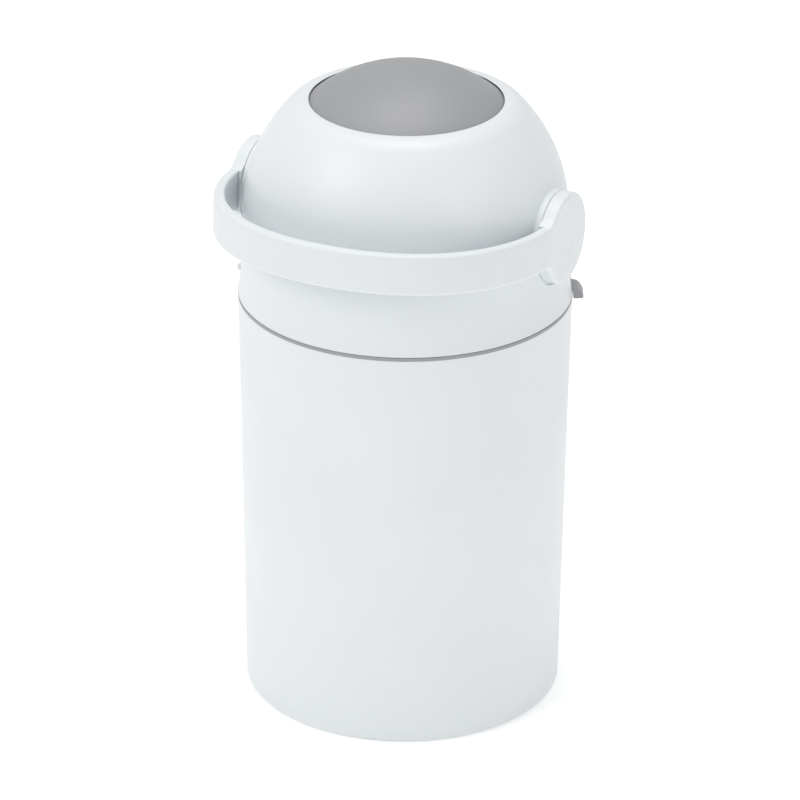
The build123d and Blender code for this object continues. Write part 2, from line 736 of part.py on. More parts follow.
# ---------------------------------------------------------------- head hinge
with BuildPart() as hinge_leaf_lower:
    with BuildSketch(Plane.XZ):
        with Locations(((hinge_leaf_outer_x + leaf_inner_x) / 2, hinge_z - lower_leaf_height / 2)):
            Rectangle(leaf_inner_x - hinge_leaf_outer_x, lower_leaf_height)
    extrude(amount=hinge_leaf_half_width, both=True)
    with BuildSketch(Plane.XZ):
        with BuildLine():
            Polyline(
                (0, container_bottom_z),
                (base_radius, container_bottom_z),
                (container_top_radius, rim_z),
                (seam_radius, rim_z),
                (seam_radius, ring_top_z),
                (0, ring_top_z),
                close=True,
            )
        make_face()
    revolve(axis=Axis.Z, mode=Mode.SUBTRACT)
    with BuildSketch(Plane.XZ):
        with Locations((hinge_x, hinge_z)):
            Circle(hinge_barrel_radius)
    extrude(amount=hinge_half_length, both=True)
    with BuildSketch(Plane.XZ):
        with Locations((hinge_x, hinge_z)):
            Circle(hinge_barrel_radius + running_gap)
    extrude(amount=hinge_centre_knuckle + running_gap, both=True, mode=Mode.SUBTRACT)
    with BuildSketch(Plane.XZ):
        with Locations((hinge_x, hinge_z)):
            Circle(hinge_pin_radius)
    extrude(amount=hinge_half_length, both=True, mode=Mode.SUBTRACT)
    with BuildSketch(hinge_side_plane.offset(container_top_radius - wall)):
        with Locations(*screw_places(lower_screw_z)):
            Circle(small_screw_radius)
    extrude(amount=hinge_screw_length, mode=Mode.SUBTRACT)
save(hinge_leaf_lower.part, "hinge_leaf_lower")

with BuildPart() as hinge_leaf_upper:
    with BuildSketch(Plane.XZ):
        with Locations(((hinge_leaf_outer_x + leaf_inner_x) / 2, hinge_z + upper_leaf_height / 2)):
            Rectangle(leaf_inner_x - hinge_leaf_outer_x, upper_leaf_height)
    extrude(amount=hinge_leaf_half_width, both=True)
    with BuildSketch(Plane.XZ):
        with BuildLine():
            Polyline(
                (0, dome_z),
                (0, hinge_z - leaf_root_drop),
                (seam_radius + 2 * running_gap, hinge_z - leaf_root_drop),
                (seam_radius + 2 * running_gap, head_bottom_z + running_gap),
                (collar_radius, head_bottom_z + running_gap),
                (collar_radius, head_bottom_z),
            )
            Bezier(
                (collar_radius, head_bottom_z),
                (collar_flare_radius, collar_flare_z),
                (dome_radius, collar_shoulder_z),
                (dome_radius, dome_z),
            )
            Line((dome_radius, dome_z), (0, dome_z))
        make_face()
    revolve(axis=Axis.Z, mode=Mode.SUBTRACT)
    with BuildSketch(Plane.XZ):
        with Locations((hinge_x, hinge_z)):
            Circle(hinge_barrel_radius + running_gap)
    extrude(amount=hinge_half_length, both=True, mode=Mode.SUBTRACT)
    with BuildSketch(Plane.XZ):
        with Locations((hinge_x, hinge_z)):
            Circle(hinge_barrel_radius)
        with Locations((hinge_x + hinge_web_thickness, hinge_z + hinge_barrel_radius)):
            Rectangle(hinge_web_thickness, 2 * hinge_barrel_radius)
    extrude(amount=hinge_centre_knuckle, both=True)
    with BuildSketch(Plane.XZ):
        with Locations((hinge_x, hinge_z)):
            Circle(hinge_pin_radius + shaft_fit)
    extrude(amount=hinge_half_length, both=True, mode=Mode.SUBTRACT)
    with BuildSketch(hinge_side_plane.offset(dome_inner_radius)):
        with Locations(*screw_places(upper_screw_z)):
            Circle(small_screw_radius)
    extrude(amount=hinge_screw_length, mode=Mode.SUBTRACT)
save(hinge_leaf_upper.part, "hinge_leaf_upper")

with BuildPart() as hinge_pin:
    with BuildSketch(Plane.XZ):
        with Locations((hinge_x, hinge_z)):
            Circle(hinge_pin_radius)
    extrude(amount=hinge_half_length, both=True)
save(hinge_pin.part, "hinge_pin")

for name, x, z in (
    ("lower_hinge_screws", lower_screw_seat, lower_screw_z),
    ("upper_hinge_screws", upper_screw_seat, upper_screw_z),
):
    with BuildPart() as hinge_screws:
        with BuildSketch(hinge_side_plane.offset(x)):
            with Locations(*screw_places(z)):
                Circle(small_screw_head_radius)
        extrude(amount=-screw_head_height)
        with BuildSketch(hinge_side_plane.offset(x)):
            with Locations(*screw_places(z)):
                Circle(small_screw_radius)
        extrude(amount=hinge_screw_length - wall)
    save(hinge_screws.part, name)

# ---------------------------------------------------------------- release lever
with BuildPart() as release_lever:
    with BuildSketch(latch_plane) as lever_side:
        with BuildLine():
            Polyline(
                (lever_face_r, lever_top_z),
                (lever_shoulder_r, lever_shoulder_z),
                (lever_tip_r, lever_edge_top_z),
                (lever_tip_r, lever_edge_bottom_z),
                (lever_lip_r, lever_lip_z),
                (lever_face_r, lever_bottom_z),
                (lever_face_r, lever_web_z),
                (lever_pin_r, lever_web_z),
                (lever_arm_r, lever_arm_bottom_z),
                (lever_arm_r, lever_arm_top_z),
                (lever_pin_r, lever_back_z),
                close=True,
            )
        make_face()
        with Locations((lever_pin_r, lever_pin_z)):
            Circle(lever_boss_radius)
            Circle(lever_pin_radius + shaft_fit, mode=Mode.SUBTRACT)
    extrude(amount=lever_width / 2, both=True)
save(release_lever.part, "release_lever")

with BuildPart() as lever_pin:
    with BuildSketch(latch_plane):
        with Locations((lever_pin_r, lever_pin_z)):
            Circle(lever_pin_radius)
    extrude(amount=ear_offset + ear_thickness / 2, both=True)
save(lever_pin.part, "lever_pin")

spring_plane = Plane(origin=(latch_spring_r * latch_out[0], latch_spring_r * latch_out[1], plate_top_z))
spring_base = spring_plane.offset(latch_spring_wire)
with BuildPart() as lever_spring:
    with BuildLine(spring_base) as spring_path:
        Helix(pitch=latch_spring_pitch, height=latch_spring_height, radius=latch_spring_radius)
    with BuildSketch(Plane(origin=spring_path.line @ 0, z_dir=spring_path.line % 0)):
        Circle(latch_spring_wire)
    sweep(path=spring_path.line)
save(lever_spring.part, "lever_spring")
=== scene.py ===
"""Nappy pail: moulded shells, bail handle and ball drum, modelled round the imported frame."""

import json
import math

import bmesh
import bpy
from mathutils import Matrix, Vector


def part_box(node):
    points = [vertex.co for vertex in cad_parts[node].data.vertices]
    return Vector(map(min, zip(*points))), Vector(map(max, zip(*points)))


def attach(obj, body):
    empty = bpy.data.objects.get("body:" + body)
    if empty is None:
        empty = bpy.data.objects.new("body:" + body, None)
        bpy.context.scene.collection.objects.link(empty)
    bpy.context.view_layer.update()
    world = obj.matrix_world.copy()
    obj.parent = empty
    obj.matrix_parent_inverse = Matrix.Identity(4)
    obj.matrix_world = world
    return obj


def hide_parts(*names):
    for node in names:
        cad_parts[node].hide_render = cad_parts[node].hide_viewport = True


bl_info = {
    "name": "Nappy Pail",
    "version": (1, 0, 0),
    "blender": (4, 5, 0),
    "location": "3D View > Sidebar > Nappy Pail",
    "description": "Models the shells, handle, drum and fittings of a nappy pail",
    "category": "Object",
}

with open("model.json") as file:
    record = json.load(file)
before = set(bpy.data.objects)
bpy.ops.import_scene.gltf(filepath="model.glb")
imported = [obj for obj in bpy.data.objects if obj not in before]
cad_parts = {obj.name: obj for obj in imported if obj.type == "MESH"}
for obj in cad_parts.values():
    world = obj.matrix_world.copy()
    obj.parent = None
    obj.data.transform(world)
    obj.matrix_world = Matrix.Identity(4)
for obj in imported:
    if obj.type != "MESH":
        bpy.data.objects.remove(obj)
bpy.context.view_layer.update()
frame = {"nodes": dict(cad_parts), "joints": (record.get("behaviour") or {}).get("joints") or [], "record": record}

# ---------------------------------------------------------------- places and sizes read from the frame
MM = 0.001
JOINTS = {joint["name"]: joint for joint in frame["joints"]}
PIVOT = Vector(JOINTS["handle_flip"]["pos_m"])
LEVER_PIVOT = Vector(JOINTS["release_lever_pivot"]["pos_m"])


def low(node):
    """Lowest corner of a node's box."""
    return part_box(node)[0]


def high(node):
    """Highest corner of a node's box."""
    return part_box(node)[1]


SEAM_RADIUS = high("bag_ring").x
RING_TOP = high("bag_ring").z
RING_BOTTOM = low("bag_ring").z
RIM_TOP = high("container").z
RIM_RADIUS = high("container").x
FOOT_Z = low("container").z
DISC_RADIUS = high("anti_slip_base").x
DISC_TOP = high("anti_slip_base").z
HEAD_BOTTOM = low("head_shell").z
HEAD_TOP = high("head_shell").z
COLLAR_RADIUS = high("head_shell").y
DRUM_RADIUS = high("drum_cap_shell").z - PIVOT.z
DRUM_POLE = high("drum_cap_shell").x
MOUTH_Z = low("mouth_ring").z
MOUTH_THICKNESS = high("mouth_ring").z - MOUTH_Z
MOUTH_RADIUS = high("mouth_ring").x
CUP_TOP = high("drum_cup").z
CUP_FLANGE = high("drum_cup").x
HUB_OUTER = high("handle").x
HUB_CAP_RADIUS = high("hub_cap_right").y
HUB_CAP_INNER = low("hub_cap_right").x
PISTON_RADIUS = high("ejector_piston").x
PISTON_BOTTOM = low("ejector_piston").z
PISTON_TOP = high("ejector_piston").z

NODE_SLOTS = {part["node"]: part["material_slot"] for part in frame["record"]["subparts"]}

# ---------------------------------------------------------------- walls, rounds and gaps
WALL = 2.8 * MM
SKIN = 0.3 * MM
SMALL_ROUND = 0.5 * MM
FOOT_RADIUS = 136.0 * MM
FOOT_ROUND = 3.0 * MM
FLOOR_THICKNESS = 3.0 * MM
DISC_GAP = 0.4 * MM
SKIRT_RADIUS = 137.2 * MM
SKIRT_WALL = 2.6 * MM

# ---------------------------------------------------------------- head: dome, collar and rolled rim
DOME_RADIUS = 136.7 * MM
DOME_Z = PIVOT.z - 2.0 * MM
HOLE_RADIUS = 81.3 * MM
ROLL_RADIUS = 25.1 * MM
LIP_ROUND = 0.5 * MM
FLARE_RADIUS = 138.8 * MM
FLARE_Z = 376.0 * MM
SHOULDER_Z = 395.0 * MM
SEAT_RADIUS = DRUM_RADIUS + 4 * SKIN

# ---------------------------------------------------------------- head: bosses, housings and the lever's slot
BOSS_FACE = 135.4 * MM
BOSS_CUT_RADIUS = 58.0 * MM
BORE_RADIUS = 11.0 * MM
BUSH_FLANGE = 1.2 * MM
HOUSING_RADIUS = 17.0 * MM
HOUSING_BLEND = (50, 42, 34, 26, 20)
STOP_ORBIT = 30.0 * MM
STOP_HALF_WIDTH = 3.3 * MM
STOP_DEPTH = 2.2 * MM
SLOT_DEPTH = 15.6 * MM
SLOT_LIFT = 2.0 * MM

# ---------------------------------------------------------------- handle
HUB_RADIUS = 38.8 * MM
HUB_LIFT = 0.8 * MM
HUB_INNER = 135.8 * MM
HUB_BLEND = 14.0 * MM
PAD_FRONT = -37.0 * MM
BAND_START = -50.0 * MM
BAND_STEPS = 44
BAND_THICKNESS = 9.2 * MM
BAND_HEIGHT = 34.5 * MM
BAND_RISE = 4.3 * MM
BAND_STRAIGHT = 27.8 * MM
BAND_REACH_FLAT = 168.7 * MM
BAND_POWER = 2.144
BAND_TILT = math.radians(3.3)

# ---------------------------------------------------------------- drum and ejector
DRUM_WALL = 2.6 * MM
CUP_WALL = 2.2 * MM
PISTON_WALL = 2.5 * MM
NOSE_RADIUS = 69.0 * MM

# ------------------------------------------- release lever, its outline as (radius, height) in mm
LEVER_HALF_WIDTH = 8.0 * MM
LEVER_BOSS_RADIUS = 3.6 * MM
LEVER_PIN_RADIUS = 1.6 * MM
LEVER_ROUND = 0.45 * MM
LEVER_OUTLINE = (
    (133.5, 376.0), (139.0, 375.8), (139.4, 370.0), (141.8, 369.4), (143.6, 369.1), (145.4, 368.2),
    (147.2, 366.5), (148.8, 364.1), (149.9, 361.6), (150.3, 360.2), (149.7, 359.1), (146.0, 358.7),
    (141.8, 358.6), (141.8, 366.4), (136.8, 366.8), (135.6, 368.8), (133.5, 369.0), (129.0, 370.9),
    (123.6, 371.4), (123.6, 373.4),
)
TAB_START = 8.3 * MM

# ---------------------------------------------------------------- meshing
TURNING_STEPS = 192
DOME_STEPS = 26
COLLAR_STEPS = 14
ROLL_STEPS = 14
INNER_STEPS = 8
CUTTER_STEPS = 160
SMALL_STEPS = 96
CUTTER_DEPTH = 80 * MM
CENTRE_RADIUS = 1.0 * MM
MERGE = 0.001 * MM
ON_CIRCLE = 0.05 * MM
SHARP_ANGLE = math.radians(30)
SOFT_ANGLE = math.radians(38)
SAME_PLANE = math.radians(0.05)
FACET_ANGLE = math.radians(0.5)
HEAD_SMOOTH = 40
PIECE_SMOOTH = 32

# -------------------------------------------------------- finishes: roughness is lowest, highest, scuffed
FINISH_PREFIX = "pail_"
FINISHES = {
    "shell_plastic": {"rough": (0.36, 0.44, 0.52), "grain": (1400.0, 0.02 * MM), "flow": 9.0, "fade": 0.985},
    "grey_plastic": {"rough": (0.44, 0.50, 0.56), "grain": (1400.0, 0.02 * MM), "flow": 11.0, "fade": 0.96},
    "bush_plastic": {"rough": (0.20, 0.28, 0.40), "grain": (900.0, 0.01 * MM), "flow": 30.0, "fade": 0.95},
    "seal_rubber": {"rough": (0.62, 0.74, 0.80), "grain": (700.0, 0.05 * MM), "flow": 40.0, "fade": 0.88},
    "rubber_grey": {"rough": (0.70, 0.80, 0.86), "grain": (520.0, 0.08 * MM), "flow": 30.0, "fade": 0.85},
}
BUSH_COLOUR = (0.78, 0.78, 0.75)
SEAL_COLOUR = (0.16, 0.165, 0.17)
STEEL_COLOUR = (0.56, 0.57, 0.58)
STEEL_FADE = 0.72
PLASTIC_SPECULAR = 0.5
RUBBER_SPECULAR = 0.3

# -------------------------------------------------------- stage: each lamp has a place, a size and a share
FLOOR_COLOUR = (0.93, 0.93, 0.93, 1)
FLOOR_GLOW = 0.24
ROOM_COLOUR = (0.97, 0.985, 1.0, 1)
ROOM_SWING = 0.06
LAMP_COLOUR = (1.0, 0.98, 0.95)
LAMPS = (
    ("key_light", (-2.3, -3.2, 3.2), 2.4, 1.15),
    ("top_light", (-0.2, 0.4, 4.0), 2.4, 1.3),
    ("fill_light", (3.2, -1.2, 1.6), 2.0, 0.32),
)


def low_radius(node):
    """Smallest distance of a ring-shaped node from the pail's axis."""
    return min(vertex.co.xy.length for vertex in frame["nodes"][node].data.vertices)


def sharp_enough(edge):
    """Whether two faces meet at a clear corner on an edge."""
    return len(edge.link_faces) == 2 and edge.calc_face_angle(0) > SHARP_ANGLE


def collar_point(t):
    """(radius, height) on the collar's curve, from the seam at t 0 to the dome's equator at t 1."""
    handles = (
        (COLLAR_RADIUS, HEAD_BOTTOM),
        (FLARE_RADIUS, FLARE_Z),
        (DOME_RADIUS, SHOULDER_Z),
        (DOME_RADIUS, DOME_Z),
    )
    weights = ((1 - t) ** 3, 3 * t * (1 - t) ** 2, 3 * t * t * (1 - t), t ** 3)
    return [sum(w * point[axis] for w, point in zip(weights, handles)) for axis in (0, 1)]


def head_radius(z, inset=0.0):
    """Radius of the head's outer surface at a height, less an inset."""
    if z >= DOME_Z:
        return math.sqrt(max((DOME_RADIUS - inset) ** 2 - (z - DOME_Z) ** 2, 0))
    lower, upper = 0.0, 1.0
    for _ in range(30):
        middle = (lower + upper) / 2
        if collar_point(middle)[1] < z:
            lower = middle
        else:
            upper = middle
    return collar_point(lower)[0] - inset


def head_x(y, z, inset=0.0):
    """How far the head's outer surface stands out sideways at a point of its side view."""
    return math.sqrt(max(head_radius(z, inset) ** 2 - y * y, 0))


# ---------------------------------------------------------------- modelling by hand
def start_piece():
    """Object mode with nothing selected, before a new primitive."""
    if bpy.context.mode != "OBJECT":
        bpy.ops.object.mode_set(mode="OBJECT")
    bpy.ops.object.select_all(action="DESELECT")


def edit_piece(piece):
    """Edit mode on one piece, with nothing in it selected."""
    start_piece()
    piece.select_set(True)
    bpy.context.view_layer.objects.active = piece
    bpy.ops.object.mode_set(mode="EDIT")
    bpy.ops.mesh.select_mode(type="VERT")
    bpy.ops.mesh.select_all(action="DESELECT")


def apply_modifier(piece, kind, **settings):
    """Add a modifier with its settings and apply it."""
    start_piece()
    piece.select_set(True)
    bpy.context.view_layer.objects.active = piece
    modifier = piece.modifiers.new(kind.title(), kind)
    for name, value in settings.items():
        setattr(modifier, name, value)
    bpy.ops.object.modifier_apply(modifier=modifier.name)


def boolean(piece, tool, operation="DIFFERENCE"):
    """Cut a piece with a tool, or join the two, and throw the tool away."""
    apply_modifier(piece, "BOOLEAN", operation=operation, solver="EXACT", object=tool)
    bpy.data.objects.remove(tool)


def rounded(corners, closed=False, steps=4):
    """Outline points from (radius, height, round) corners, with each round as an arc."""
    points = []
    count = len(corners)
    for index, (radius, height, size) in enumerate(corners):
        corner = Vector((radius, height))
        if size <= 0 or (not closed and index in (0, count - 1)):
            points.append((radius, height))
            continue
        back = Vector(corners[index - 1][:2]) - corner
        ahead = Vector(corners[(index + 1) % count][:2]) - corner
        half = back.angle(ahead) / 2
        size = min(size, math.tan(half) * min(back.length, ahead.length) * 0.48)
        middle = corner + (back.normalized() + ahead.normalized()).normalized() * size / math.sin(half)
        first = corner + back.normalized() * size / math.tan(half) - middle
        last = corner + ahead.normalized() * size / math.tan(half) - middle
        for step in range(steps + 1):
            spoke = first.normalized().slerp(last.normalized(), step / steps)
            points.append(tuple(middle + spoke * size))
    return points


def turned(outline, axis="Z", side=1, closed=False, steps=TURNING_STEPS):
    """Turn an outline of (radius, distance) points: a circle extruded and resized from point to point."""
    along = Vector((0, 0, 1)) if axis == "Z" else Vector((side, 0, 0))
    centre = Vector() if axis == "Z" else PIVOT
    turn = (0, 0, 0) if axis == "Z" else (0, math.pi / 2, 0)
    radius, distance = outline[0]
    start_piece()
    bpy.ops.mesh.primitive_circle_add(
        vertices=steps, radius=radius, location=centre + along * distance, rotation=turn
    )
    bpy.ops.object.transform_apply(location=True, rotation=True, scale=True)
    bpy.ops.object.mode_set(mode="EDIT")
    bpy.ops.mesh.select_all(action="SELECT")
    for next_radius, next_distance in outline[1:] + outline[:1] * closed:
        step = along * (next_distance - distance)
        bpy.ops.mesh.extrude_region_move(TRANSFORM_OT_translate={"value": step})
        ratio = next_radius / radius
        scale = (ratio, ratio, 1) if axis == "Z" else (1, ratio, ratio)
        bpy.ops.transform.resize(value=scale, center_override=centre + along * next_distance)
        radius, distance = next_radius, next_distance
    bpy.ops.mesh.select_all(action="SELECT")
    bpy.ops.mesh.remove_doubles(threshold=MERGE)
    if not closed:
        bpy.ops.mesh.fill_holes(sides=0)
    bpy.ops.mesh.select_all(action="SELECT")
    bpy.ops.mesh.normals_make_consistent(inside=False)
    bpy.ops.object.mode_set(mode="OBJECT")
    return bpy.context.object


def finish_piece(piece, name, body, slot, nodes, angle=PIECE_SMOOTH):
    """Name a piece, smooth it, give it its finish and set it on its body in place of its nodes."""
    piece.name = name
    piece.data.name = name
    start_piece()
    piece.select_set(True)
    bpy.context.view_layer.objects.active = piece
    bpy.ops.object.shade_smooth_by_angle(angle=math.radians(angle))
    apply_modifier(piece, "WEIGHTED_NORMAL", keep_sharp=True)
    piece.data.materials.clear()
    piece.data.materials.append(bpy.data.materials[FINISH_PREFIX + slot])
    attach(piece, body)
    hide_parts(*nodes)


# ---------------------------------------------------------------- finishes
def add_node(tree, kind, **settings):
    """A node with its settings."""
    node = tree.nodes.new(kind)
    for name, value in settings.items():
        setattr(node, name, value)
    return node


def moulded_group():
    """Grain, flow and scuff masks of a moulded surface, shared by the plastics and the rubbers."""
    group = bpy.data.node_groups.new("moulded_surface", "ShaderNodeTree")
    for name, value in (("Grain Scale", 900.0), ("Flow Scale", 14.0), ("Scuff Scale", 60.0)):
        socket = group.interface.new_socket(name=name, in_out="INPUT", socket_type="NodeSocketFloat")
        socket.default_value = value
    for name in ("Grain", "Flow", "Scuff"):
        group.interface.new_socket(name=name, in_out="OUTPUT", socket_type="NodeSocketFloat")
    source = add_node(group, "NodeGroupInput")
    target = add_node(group, "NodeGroupOutput")
    place = add_node(group, "ShaderNodeTexCoord")
    for scale, output, detail, stretch in (
        ("Grain Scale", "Grain", 2.0, (0.0, 1.0)),
        ("Flow Scale", "Flow", 2.0, (0.35, 0.65)),
        ("Scuff Scale", "Scuff", 6.0, (0.62, 0.74)),
    ):
        noise = add_node(group, "ShaderNodeTexNoise")
        noise.inputs["Detail"].default_value = detail
        remap = add_node(group, "ShaderNodeMapRange")
        remap.inputs["From Min"].default_value = stretch[0]
        remap.inputs["From Max"].default_value = stretch[1]
        group.links.new(place.outputs["Object"], noise.inputs["Vector"])
        group.links.new(source.outputs[scale], noise.inputs["Scale"])
        group.links.new(noise.outputs["Fac"], remap.inputs["Value"])
        group.links.new(remap.outputs["Result"], target.inputs[output])
    return group


def moulded_finish(name, colour, rough, grain, flow, fade):
    """A moulded plastic or rubber, with flow marks, scuffs and a fine grain.

    rough is (lowest, highest, scuffed) roughness, grain is (scale, depth), flow is the scale of the flow
    marks, and fade is how far the colour darkens in them."""
    material = bpy.data.materials.new(FINISH_PREFIX + name)
    material.use_nodes = True
    tree = material.node_tree
    shader = tree.nodes["Principled BSDF"]
    specular = RUBBER_SPECULAR if "rubber" in name else PLASTIC_SPECULAR
    shader.inputs["Specular IOR Level"].default_value = specular
    surface = add_node(tree, "ShaderNodeGroup", node_tree=bpy.data.node_groups["moulded_surface"])
    surface.inputs["Grain Scale"].default_value = grain[0]
    surface.inputs["Flow Scale"].default_value = flow
    tint = add_node(tree, "ShaderNodeMix", data_type="RGBA")
    tint.inputs["A"].default_value = (*colour, 1)
    tint.inputs["B"].default_value = (*[part * fade for part in colour], 1)
    gloss = add_node(tree, "ShaderNodeMapRange")
    gloss.inputs["To Min"].default_value = rough[0]
    gloss.inputs["To Max"].default_value = rough[1]
    worn = add_node(tree, "ShaderNodeMix", data_type="FLOAT")
    worn.inputs["B"].default_value = rough[2]
    bump = add_node(tree, "ShaderNodeBump")
    bump.inputs["Strength"].default_value = 1.0
    bump.inputs["Distance"].default_value = grain[1]
    tree.links.new(surface.outputs["Flow"], tint.inputs["Factor"])
    tree.links.new(tint.outputs["Result"], shader.inputs["Base Color"])
    tree.links.new(surface.outputs["Flow"], gloss.inputs["Value"])
    tree.links.new(gloss.outputs["Result"], worn.inputs["A"])
    tree.links.new(surface.outputs["Scuff"], worn.inputs["Factor"])
    tree.links.new(worn.outputs["Result"], shader.inputs["Roughness"])
    tree.links.new(surface.outputs["Grain"], bump.inputs["Height"])
    tree.links.new(bump.outputs["Normal"], shader.inputs["Normal"])
    return material


def plated_steel(name, colour):
    """Zinc-plated steel with a fine turned texture and slightly cloudy plating."""
    material = bpy.data.materials.new(FINISH_PREFIX + name)
    material.use_nodes = True
    tree = material.node_tree
    shader = tree.nodes["Principled BSDF"]
    shader.inputs["Metallic"].default_value = 1.0
    place = add_node(tree, "ShaderNodeTexCoord")
    cloud = add_node(tree, "ShaderNodeTexNoise")
    cloud.inputs["Scale"].default_value = 260.0
    cloud.inputs["Detail"].default_value = 5.0
    tint = add_node(tree, "ShaderNodeMix", data_type="RGBA")
    tint.inputs["A"].default_value = (*colour, 1)
    tint.inputs["B"].default_value = (*[part * STEEL_FADE for part in colour], 1)
    gloss = add_node(tree, "ShaderNodeMapRange")
    gloss.inputs["To Min"].default_value = 0.22
    gloss.inputs["To Max"].default_value = 0.45
    bump = add_node(tree, "ShaderNodeBump")
    bump.inputs["Strength"].default_value = 0.5
    bump.inputs["Distance"].default_value = 0.02 * MM
    tree.links.new(place.outputs["Object"], cloud.inputs["Vector"])
    tree.links.new(cloud.outputs["Fac"], tint.inputs["Factor"])
    tree.links.new(tint.outputs["Result"], shader.inputs["Base Color"])
    tree.links.new(cloud.outputs["Fac"], gloss.inputs["Value"])
    tree.links.new(gloss.outputs["Result"], shader.inputs["Roughness"])
    tree.links.new(cloud.outputs["Fac"], bump.inputs["Height"])
    tree.links.new(bump.outputs["Normal"], shader.inputs["Normal"])
    return material


# ---------------------------------------------------------------- settings a user would change
class PailColours(bpy.types.PropertyGroup):
    """Colours of the mouldings."""

    shell: bpy.props.FloatVectorProperty(
        name="Shell", description="White of the container, head and handle",
        subtype="COLOR", size=3, min=0, max=1, default=(0.725, 0.757, 0.775),
    )
    grey: bpy.props.FloatVectorProperty(
        name="Grey", description="Grey of the drum, the bag ring and the release lever",
        subtype="COLOR", size=3, min=0, max=1, default=(0.315, 0.32, 0.333),
    )
    rubber: bpy.props.FloatVectorProperty(
        name="Rubber", description="Grey of the base disc and the seals",
        subtype="COLOR", size=3, min=0, max=1, default=(0.10, 0.10, 0.105),
    )


class PailSizes(bpy.types.PropertyGroup):
    """Sizes of the softened edges."""

    band_round: bpy.props.FloatProperty(
        name="Handle edge", description="Round of the handle's outer edges",
        subtype="DISTANCE", unit="LENGTH", default=3.0 * MM, min=0.5 * MM, max=4.0 * MM,
    )
    inner_round: bpy.props.FloatProperty(
        name="Handle inner edge", description="Round of the handle's inner edges",
        subtype="DISTANCE", unit="LENGTH", default=2.2 * MM, min=0.3 * MM, max=4.0 * MM,
    )
    boss_fillet: bpy.props.FloatProperty(
        name="Boss fillet", description="Fillet where a pivot boss meets the dome",
        subtype="DISTANCE", unit="LENGTH", default=1.4 * MM, min=0.5 * MM, max=6.0 * MM,
    )
    floor_size: bpy.props.FloatProperty(
        name="Floor", description="Side of the floor that the pail stands on",
        subtype="DISTANCE", unit="LENGTH", default=40.0, min=2.0,
    )


class PailStage(bpy.types.PropertyGroup):
    """The camera and the light."""

    azimuth: bpy.props.FloatProperty(
        name="Azimuth", description="How far round the pail the camera stands, from the front to the lever",
        subtype="ANGLE", unit="ROTATION", default=0.424,
    )
    pitch: bpy.props.FloatProperty(
        name="Pitch", description="How far the camera looks down",
        subtype="ANGLE", unit="ROTATION", default=0.44455,
    )
    pan: bpy.props.FloatProperty(
        name="Pan", description="How far the camera turns off the pail's axis",
        subtype="ANGLE", unit="ROTATION", default=-0.00102,
    )
    roll: bpy.props.FloatProperty(
        name="Roll", description="How far the camera leans",
        subtype="ANGLE", unit="ROTATION", default=0.00714,
    )
    distance: bpy.props.FloatProperty(
        name="Distance", description="Camera's distance from the pail's axis",
        subtype="DISTANCE", unit="LENGTH", default=3.6602,
    )
    height: bpy.props.FloatProperty(
        name="Height", description="Camera's height above the floor",
        subtype="DISTANCE", unit="LENGTH", default=2.002,
    )
    lens: bpy.props.FloatProperty(
        name="Lens", description="Focal length on a 36 mm sensor, in millimetres", default=213.81,
    )
    key: bpy.props.FloatProperty(
        name="Lights", description="Power that the three soft lights share out", unit="POWER", default=45.0,
    )
    room: bpy.props.FloatProperty(
        name="Room light", description="Strength of the even light from all round", default=0.62,
    )


class PAIL_OT_finishes(bpy.types.Operator):
    """Make the plastics, rubbers and steel, and give every frame node the one it is made of"""

    bl_idname = "pail.finishes"
    bl_label = "Finishes"

    def execute(self, context):
        colours = context.scene.pail_colours
        moulded_group()
        for slot, colour in (
            ("shell_plastic", colours.shell),
            ("grey_plastic", colours.grey),
            ("bush_plastic", BUSH_COLOUR),
            ("seal_rubber", SEAL_COLOUR),
            ("rubber_grey", colours.rubber),
        ):
            moulded_finish(slot, tuple(colour), **FINISHES[slot])
        plated_steel("steel", STEEL_COLOUR)
        for name, node in frame["nodes"].items():
            node.data.materials.clear()
            node.data.materials.append(bpy.data.materials[FINISH_PREFIX + NODE_SLOTS[name]])
        return {"FINISHED"}


# ---------------------------------------------------------------- pieces of the base
class PAIL_OT_container(bpy.types.Operator):
    """Model the container: a tapered wall with a rounded foot, a soft rim and a floor"""

    bl_idname = "pail.container"
    bl_label = "Container"

    def execute(self, context):
        floor_top = DISC_TOP + FLOOR_THICKNESS
        outline = rounded(
            (
                (DISC_RADIUS + DISC_GAP, DISC_TOP, 0),
                (DISC_RADIUS + DISC_GAP, FOOT_Z, SKIN),
                (FOOT_RADIUS, FOOT_Z, FOOT_ROUND),
                (RIM_RADIUS, RIM_TOP, SMALL_ROUND),
                (RIM_RADIUS - WALL, RIM_TOP, SMALL_ROUND),
                (FOOT_RADIUS - WALL, floor_top, FOOT_ROUND),
                (CENTRE_RADIUS, floor_top, 0),
            ),
            steps=6,
        )
        piece = turned(outline)
        finish_piece(piece, "container_body", "base", "shell_plastic", ["container"])
        return {"FINISHED"}


class PAIL_OT_bag_ring(bpy.types.Operator):
    """Model the bag ring: a flange that shows as the grey seam, and a skirt inside the container"""

    bl_idname = "pail.bag_ring"
    bl_label = "Bag Ring"

    def execute(self, context):
        skirt_inner = SKIRT_RADIUS - SKIRT_WALL
        outline = rounded(
            (
                (low_radius("bag_ring"), RIM_TOP, SMALL_ROUND),
                (skirt_inner, RIM_TOP, SMALL_ROUND),
                (skirt_inner, RING_BOTTOM, SMALL_ROUND),
                (SKIRT_RADIUS, RING_BOTTOM, SMALL_ROUND),
                (SKIRT_RADIUS, RIM_TOP, SKIN),
                (SEAM_RADIUS, RIM_TOP, SMALL_ROUND),
                (SEAM_RADIUS, RING_TOP, SMALL_ROUND),
                (low_radius("bag_ring"), RING_TOP, 2 * SMALL_ROUND),
            ),
            closed=True,
        )
        piece = turned(outline, closed=True)
        finish_piece(piece, "bag_ring_moulding", "base", "grey_plastic", ["bag_ring"])
        return {"FINISHED"}


